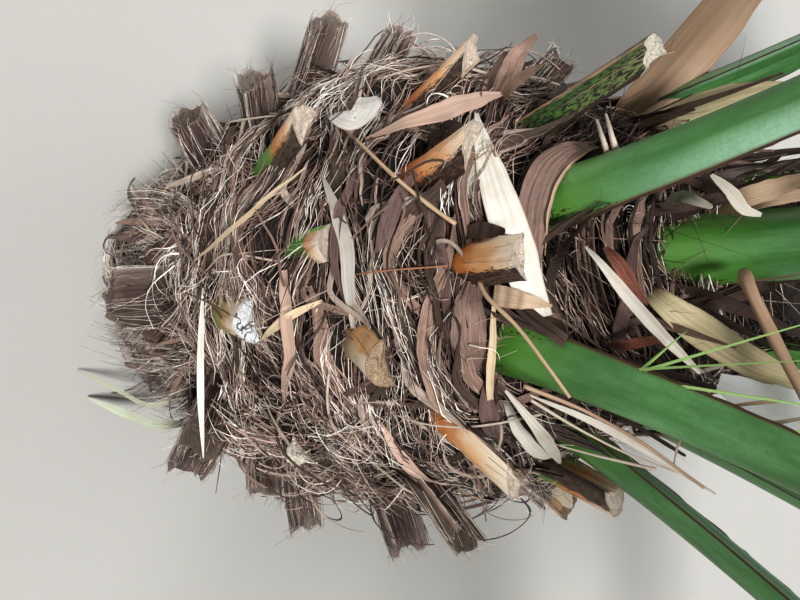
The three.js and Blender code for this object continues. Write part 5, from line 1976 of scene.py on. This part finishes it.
CAMERA_PLACE = (0.025, -0.8026, 1.1227)
CAMERA_PITCH = math.radians(42)
CAMERA_LENS, CAMERA_SENSOR = 36, 36

LIGHT_DISTANCE, SKY_STRENGTH = 6, 0.27
# Soft lights like an even sky: name, then azimuth, height and softness in degrees, and strength
LIGHTS = [
    ("Key Sky", 24, 56, 14, 4.7),
    ("Left Sky", -62, 34, 60, 0.6),
    ("Far Sky", 190, 42, 60, 1.0),
]


def camera_and_lights():
    """Camera on its side: its right is up the trunk, as the picture was taken, looking down by the pitch."""
    data = bpy.data.cameras.new("Palm Camera")
    data.lens, data.sensor_width = CAMERA_LENS, CAMERA_SENSOR
    data.clip_start, data.clip_end = 0.02, 200
    camera = bpy.data.objects.new("Palm Camera", data)
    sine, cosine = math.sin(CAMERA_PITCH), math.cos(CAMERA_PITCH)
    right, up, back = (0, sine, cosine), (-1, 0, 0), (0, -cosine, sine)
    turn = Matrix((right, up, back)).transposed().to_4x4()
    camera.matrix_world = Matrix.Translation(CAMERA_PLACE) @ turn
    bpy.context.scene.collection.objects.link(camera)
    bpy.context.scene.camera = camera
    for name, azimuth, height, softness, strength in LIGHTS:
        light = bpy.data.lights.new(name, "SUN")
        light.energy, light.angle = strength, math.radians(softness)
        lamp = bpy.data.objects.new(name, light)
        towards = Vector(frames_at(azimuth, height)[0])
        turn = towards.to_track_quat("Z", "Y").to_matrix().to_4x4()
        lamp.matrix_world = Matrix.Translation(towards * LIGHT_DISTANCE) @ turn
        bpy.context.scene.collection.objects.link(lamp)


def floor_and_surround():
    """A plain pale floor, and a surround that fills the shadows evenly."""
    scene, stage = bpy.context.scene, settings("stage")
    half = stage.floor_size / 2
    mesh = bpy.data.meshes.new("floor")
    corners = [(-half, -half, 0), (half, -half, 0), (half, half, 0), (-half, half, 0)]
    mesh.from_pydata(corners, [], [(0, 1, 2, 3)])
    recipe = Finish("Pale Floor", 0.85)
    recipe.shader.inputs["Specular IOR Level"].default_value = 0.1
    grain = recipe.noise(recipe.object_place(), 3.0, 4.0)
    recipe.shown = recipe.shades(grain, stage.floor_colour, 0.97, 1.02)
    mesh.materials.append(recipe.done())
    floor = bpy.data.objects.new("floor", mesh)
    scene.collection.objects.link(floor)
    scene.world = bpy.data.worlds.new("Pale Surround")
    scene.world.use_nodes = True
    background = scene.world.node_tree.nodes["Background"]
    background.inputs["Color"].default_value = stage.sky_colour
    background.inputs["Strength"].default_value = SKY_STRENGTH
    scene.view_settings.view_transform = "Standard"
    scene.view_settings.look = "Medium High Contrast"


# Operators

class PALM_OT_stage(bpy.types.Operator):
    """Set up the camera, the soft lights and the pale floor"""
    bl_idname = "palm.stage"
    bl_label = "Camera, Lights and Floor"
    bl_options = {"REGISTER", "UNDO"}

    def execute(self, context):
        camera_and_lights()
        floor_and_surround()
        return {"FINISHED"}


class PALM_OT_trunk(bpy.types.Operator):
    """Make the trunk's matted skin"""
    bl_idname = "palm.trunk"
    bl_label = "Trunk Skin"
    bl_options = {"REGISTER", "UNDO"}

    def execute(self, context):
        trunk_skin()
        return {"FINISHED"}


class PALM_OT_sheaths(bpy.types.Operator):
    """Wrap straps and torn flaps of leaf sheath round the trunk"""
    bl_idname = "palm.sheaths"
    bl_label = "Leaf Sheaths"
    bl_options = {"REGISTER", "UNDO"}

    def execute(self, context):
        sheaths()
        return {"FINISHED"}


class PALM_OT_fibres(bpy.types.Operator):
    """Lay the matted, curled and hanging fibres over the trunk"""
    bl_idname = "palm.fibres"
    bl_label = "Fibres"
    bl_options = {"REGISTER", "UNDO"}

    def execute(self, context):
        fibres()
        return {"FINISHED"}


class PALM_OT_leaf_bases(bpy.types.Operator):
    """Make the leaf bases that were cut back to stubs"""
    bl_idname = "palm.leaf_bases"
    bl_label = "Cut Leaf Bases"
    bl_options = {"REGISTER", "UNDO"}

    def execute(self, context):
        leaf_bases()
        return {"FINISHED"}


class PALM_OT_fronds(bpy.types.Operator):
    """Make the fronds: stalks, spines, ribs and leaflets"""
    bl_idname = "palm.fronds"
    bl_label = "Fronds"
    bl_options = {"REGISTER", "UNDO"}

    def execute(self, context):
        fronds()
        return {"FINISHED"}


class PALM_OT_spear(bpy.types.Operator):
    """Make the unopened leaf in the heart"""
    bl_idname = "palm.spear"
    bl_label = "Spear Leaf"
    bl_options = {"REGISTER", "UNDO"}

    def execute(self, context):
        spear_leaf()
        return {"FINISHED"}


class PALM_OT_dry_leaves(bpy.types.Operator):
    """Make the dry blades caught on the trunk"""
    bl_idname = "palm.dry_leaves"
    bl_label = "Dry Leaves"
    bl_options = {"REGISTER", "UNDO"}

    def execute(self, context):
        dry_leaves()
        return {"FINISHED"}


SETTINGS = {
    "palm_trunk": PalmTrunkSettings,
    "palm_fibre": PalmFibreSettings,
    "palm_leaf_base": PalmLeafBaseSettings,
    "palm_frond": PalmFrondSettings,
    "palm_dry": PalmDrySettings,
    "palm_stage": PalmStageSettings,
}
OPERATORS = (
    PALM_OT_stage, PALM_OT_trunk, PALM_OT_sheaths, PALM_OT_fibres, PALM_OT_leaf_bases, PALM_OT_fronds,
    PALM_OT_spear, PALM_OT_dry_leaves,
)


class PALM_PT_panel(bpy.types.Panel):
    """Lists the palm's operators and settings"""
    bl_label = "Young Date Palm"
    bl_idname = "PALM_PT_panel"
    bl_space_type = "VIEW_3D"
    bl_region_type = "UI"
    bl_category = "Palm"

    def draw(self, context):
        for operator in OPERATORS:
            self.layout.operator(operator.bl_idname)
        for name, group in SETTINGS.items():
            box = self.layout.box()
            for key in group.__annotations__:
                box.prop(getattr(context.scene, name), key)


def register():
    for group in (*SETTINGS.values(), *OPERATORS, PALM_PT_panel):
        bpy.utils.register_class(group)
    for name, group in SETTINGS.items():
        setattr(bpy.types.Scene, name, PointerProperty(type=group))


def unregister():
    for name in SETTINGS:
        delattr(bpy.types.Scene, name)
    for group in reversed((*SETTINGS.values(), *OPERATORS, PALM_PT_panel)):
        bpy.utils.unregister_class(group)


def main():
    """Registers the add-on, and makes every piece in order."""
    register()
    for operator in OPERATORS:
        group, name = operator.bl_idname.split(".")
        getattr(getattr(bpy.ops, group), name)()


if __name__ == "__main__":
    main()
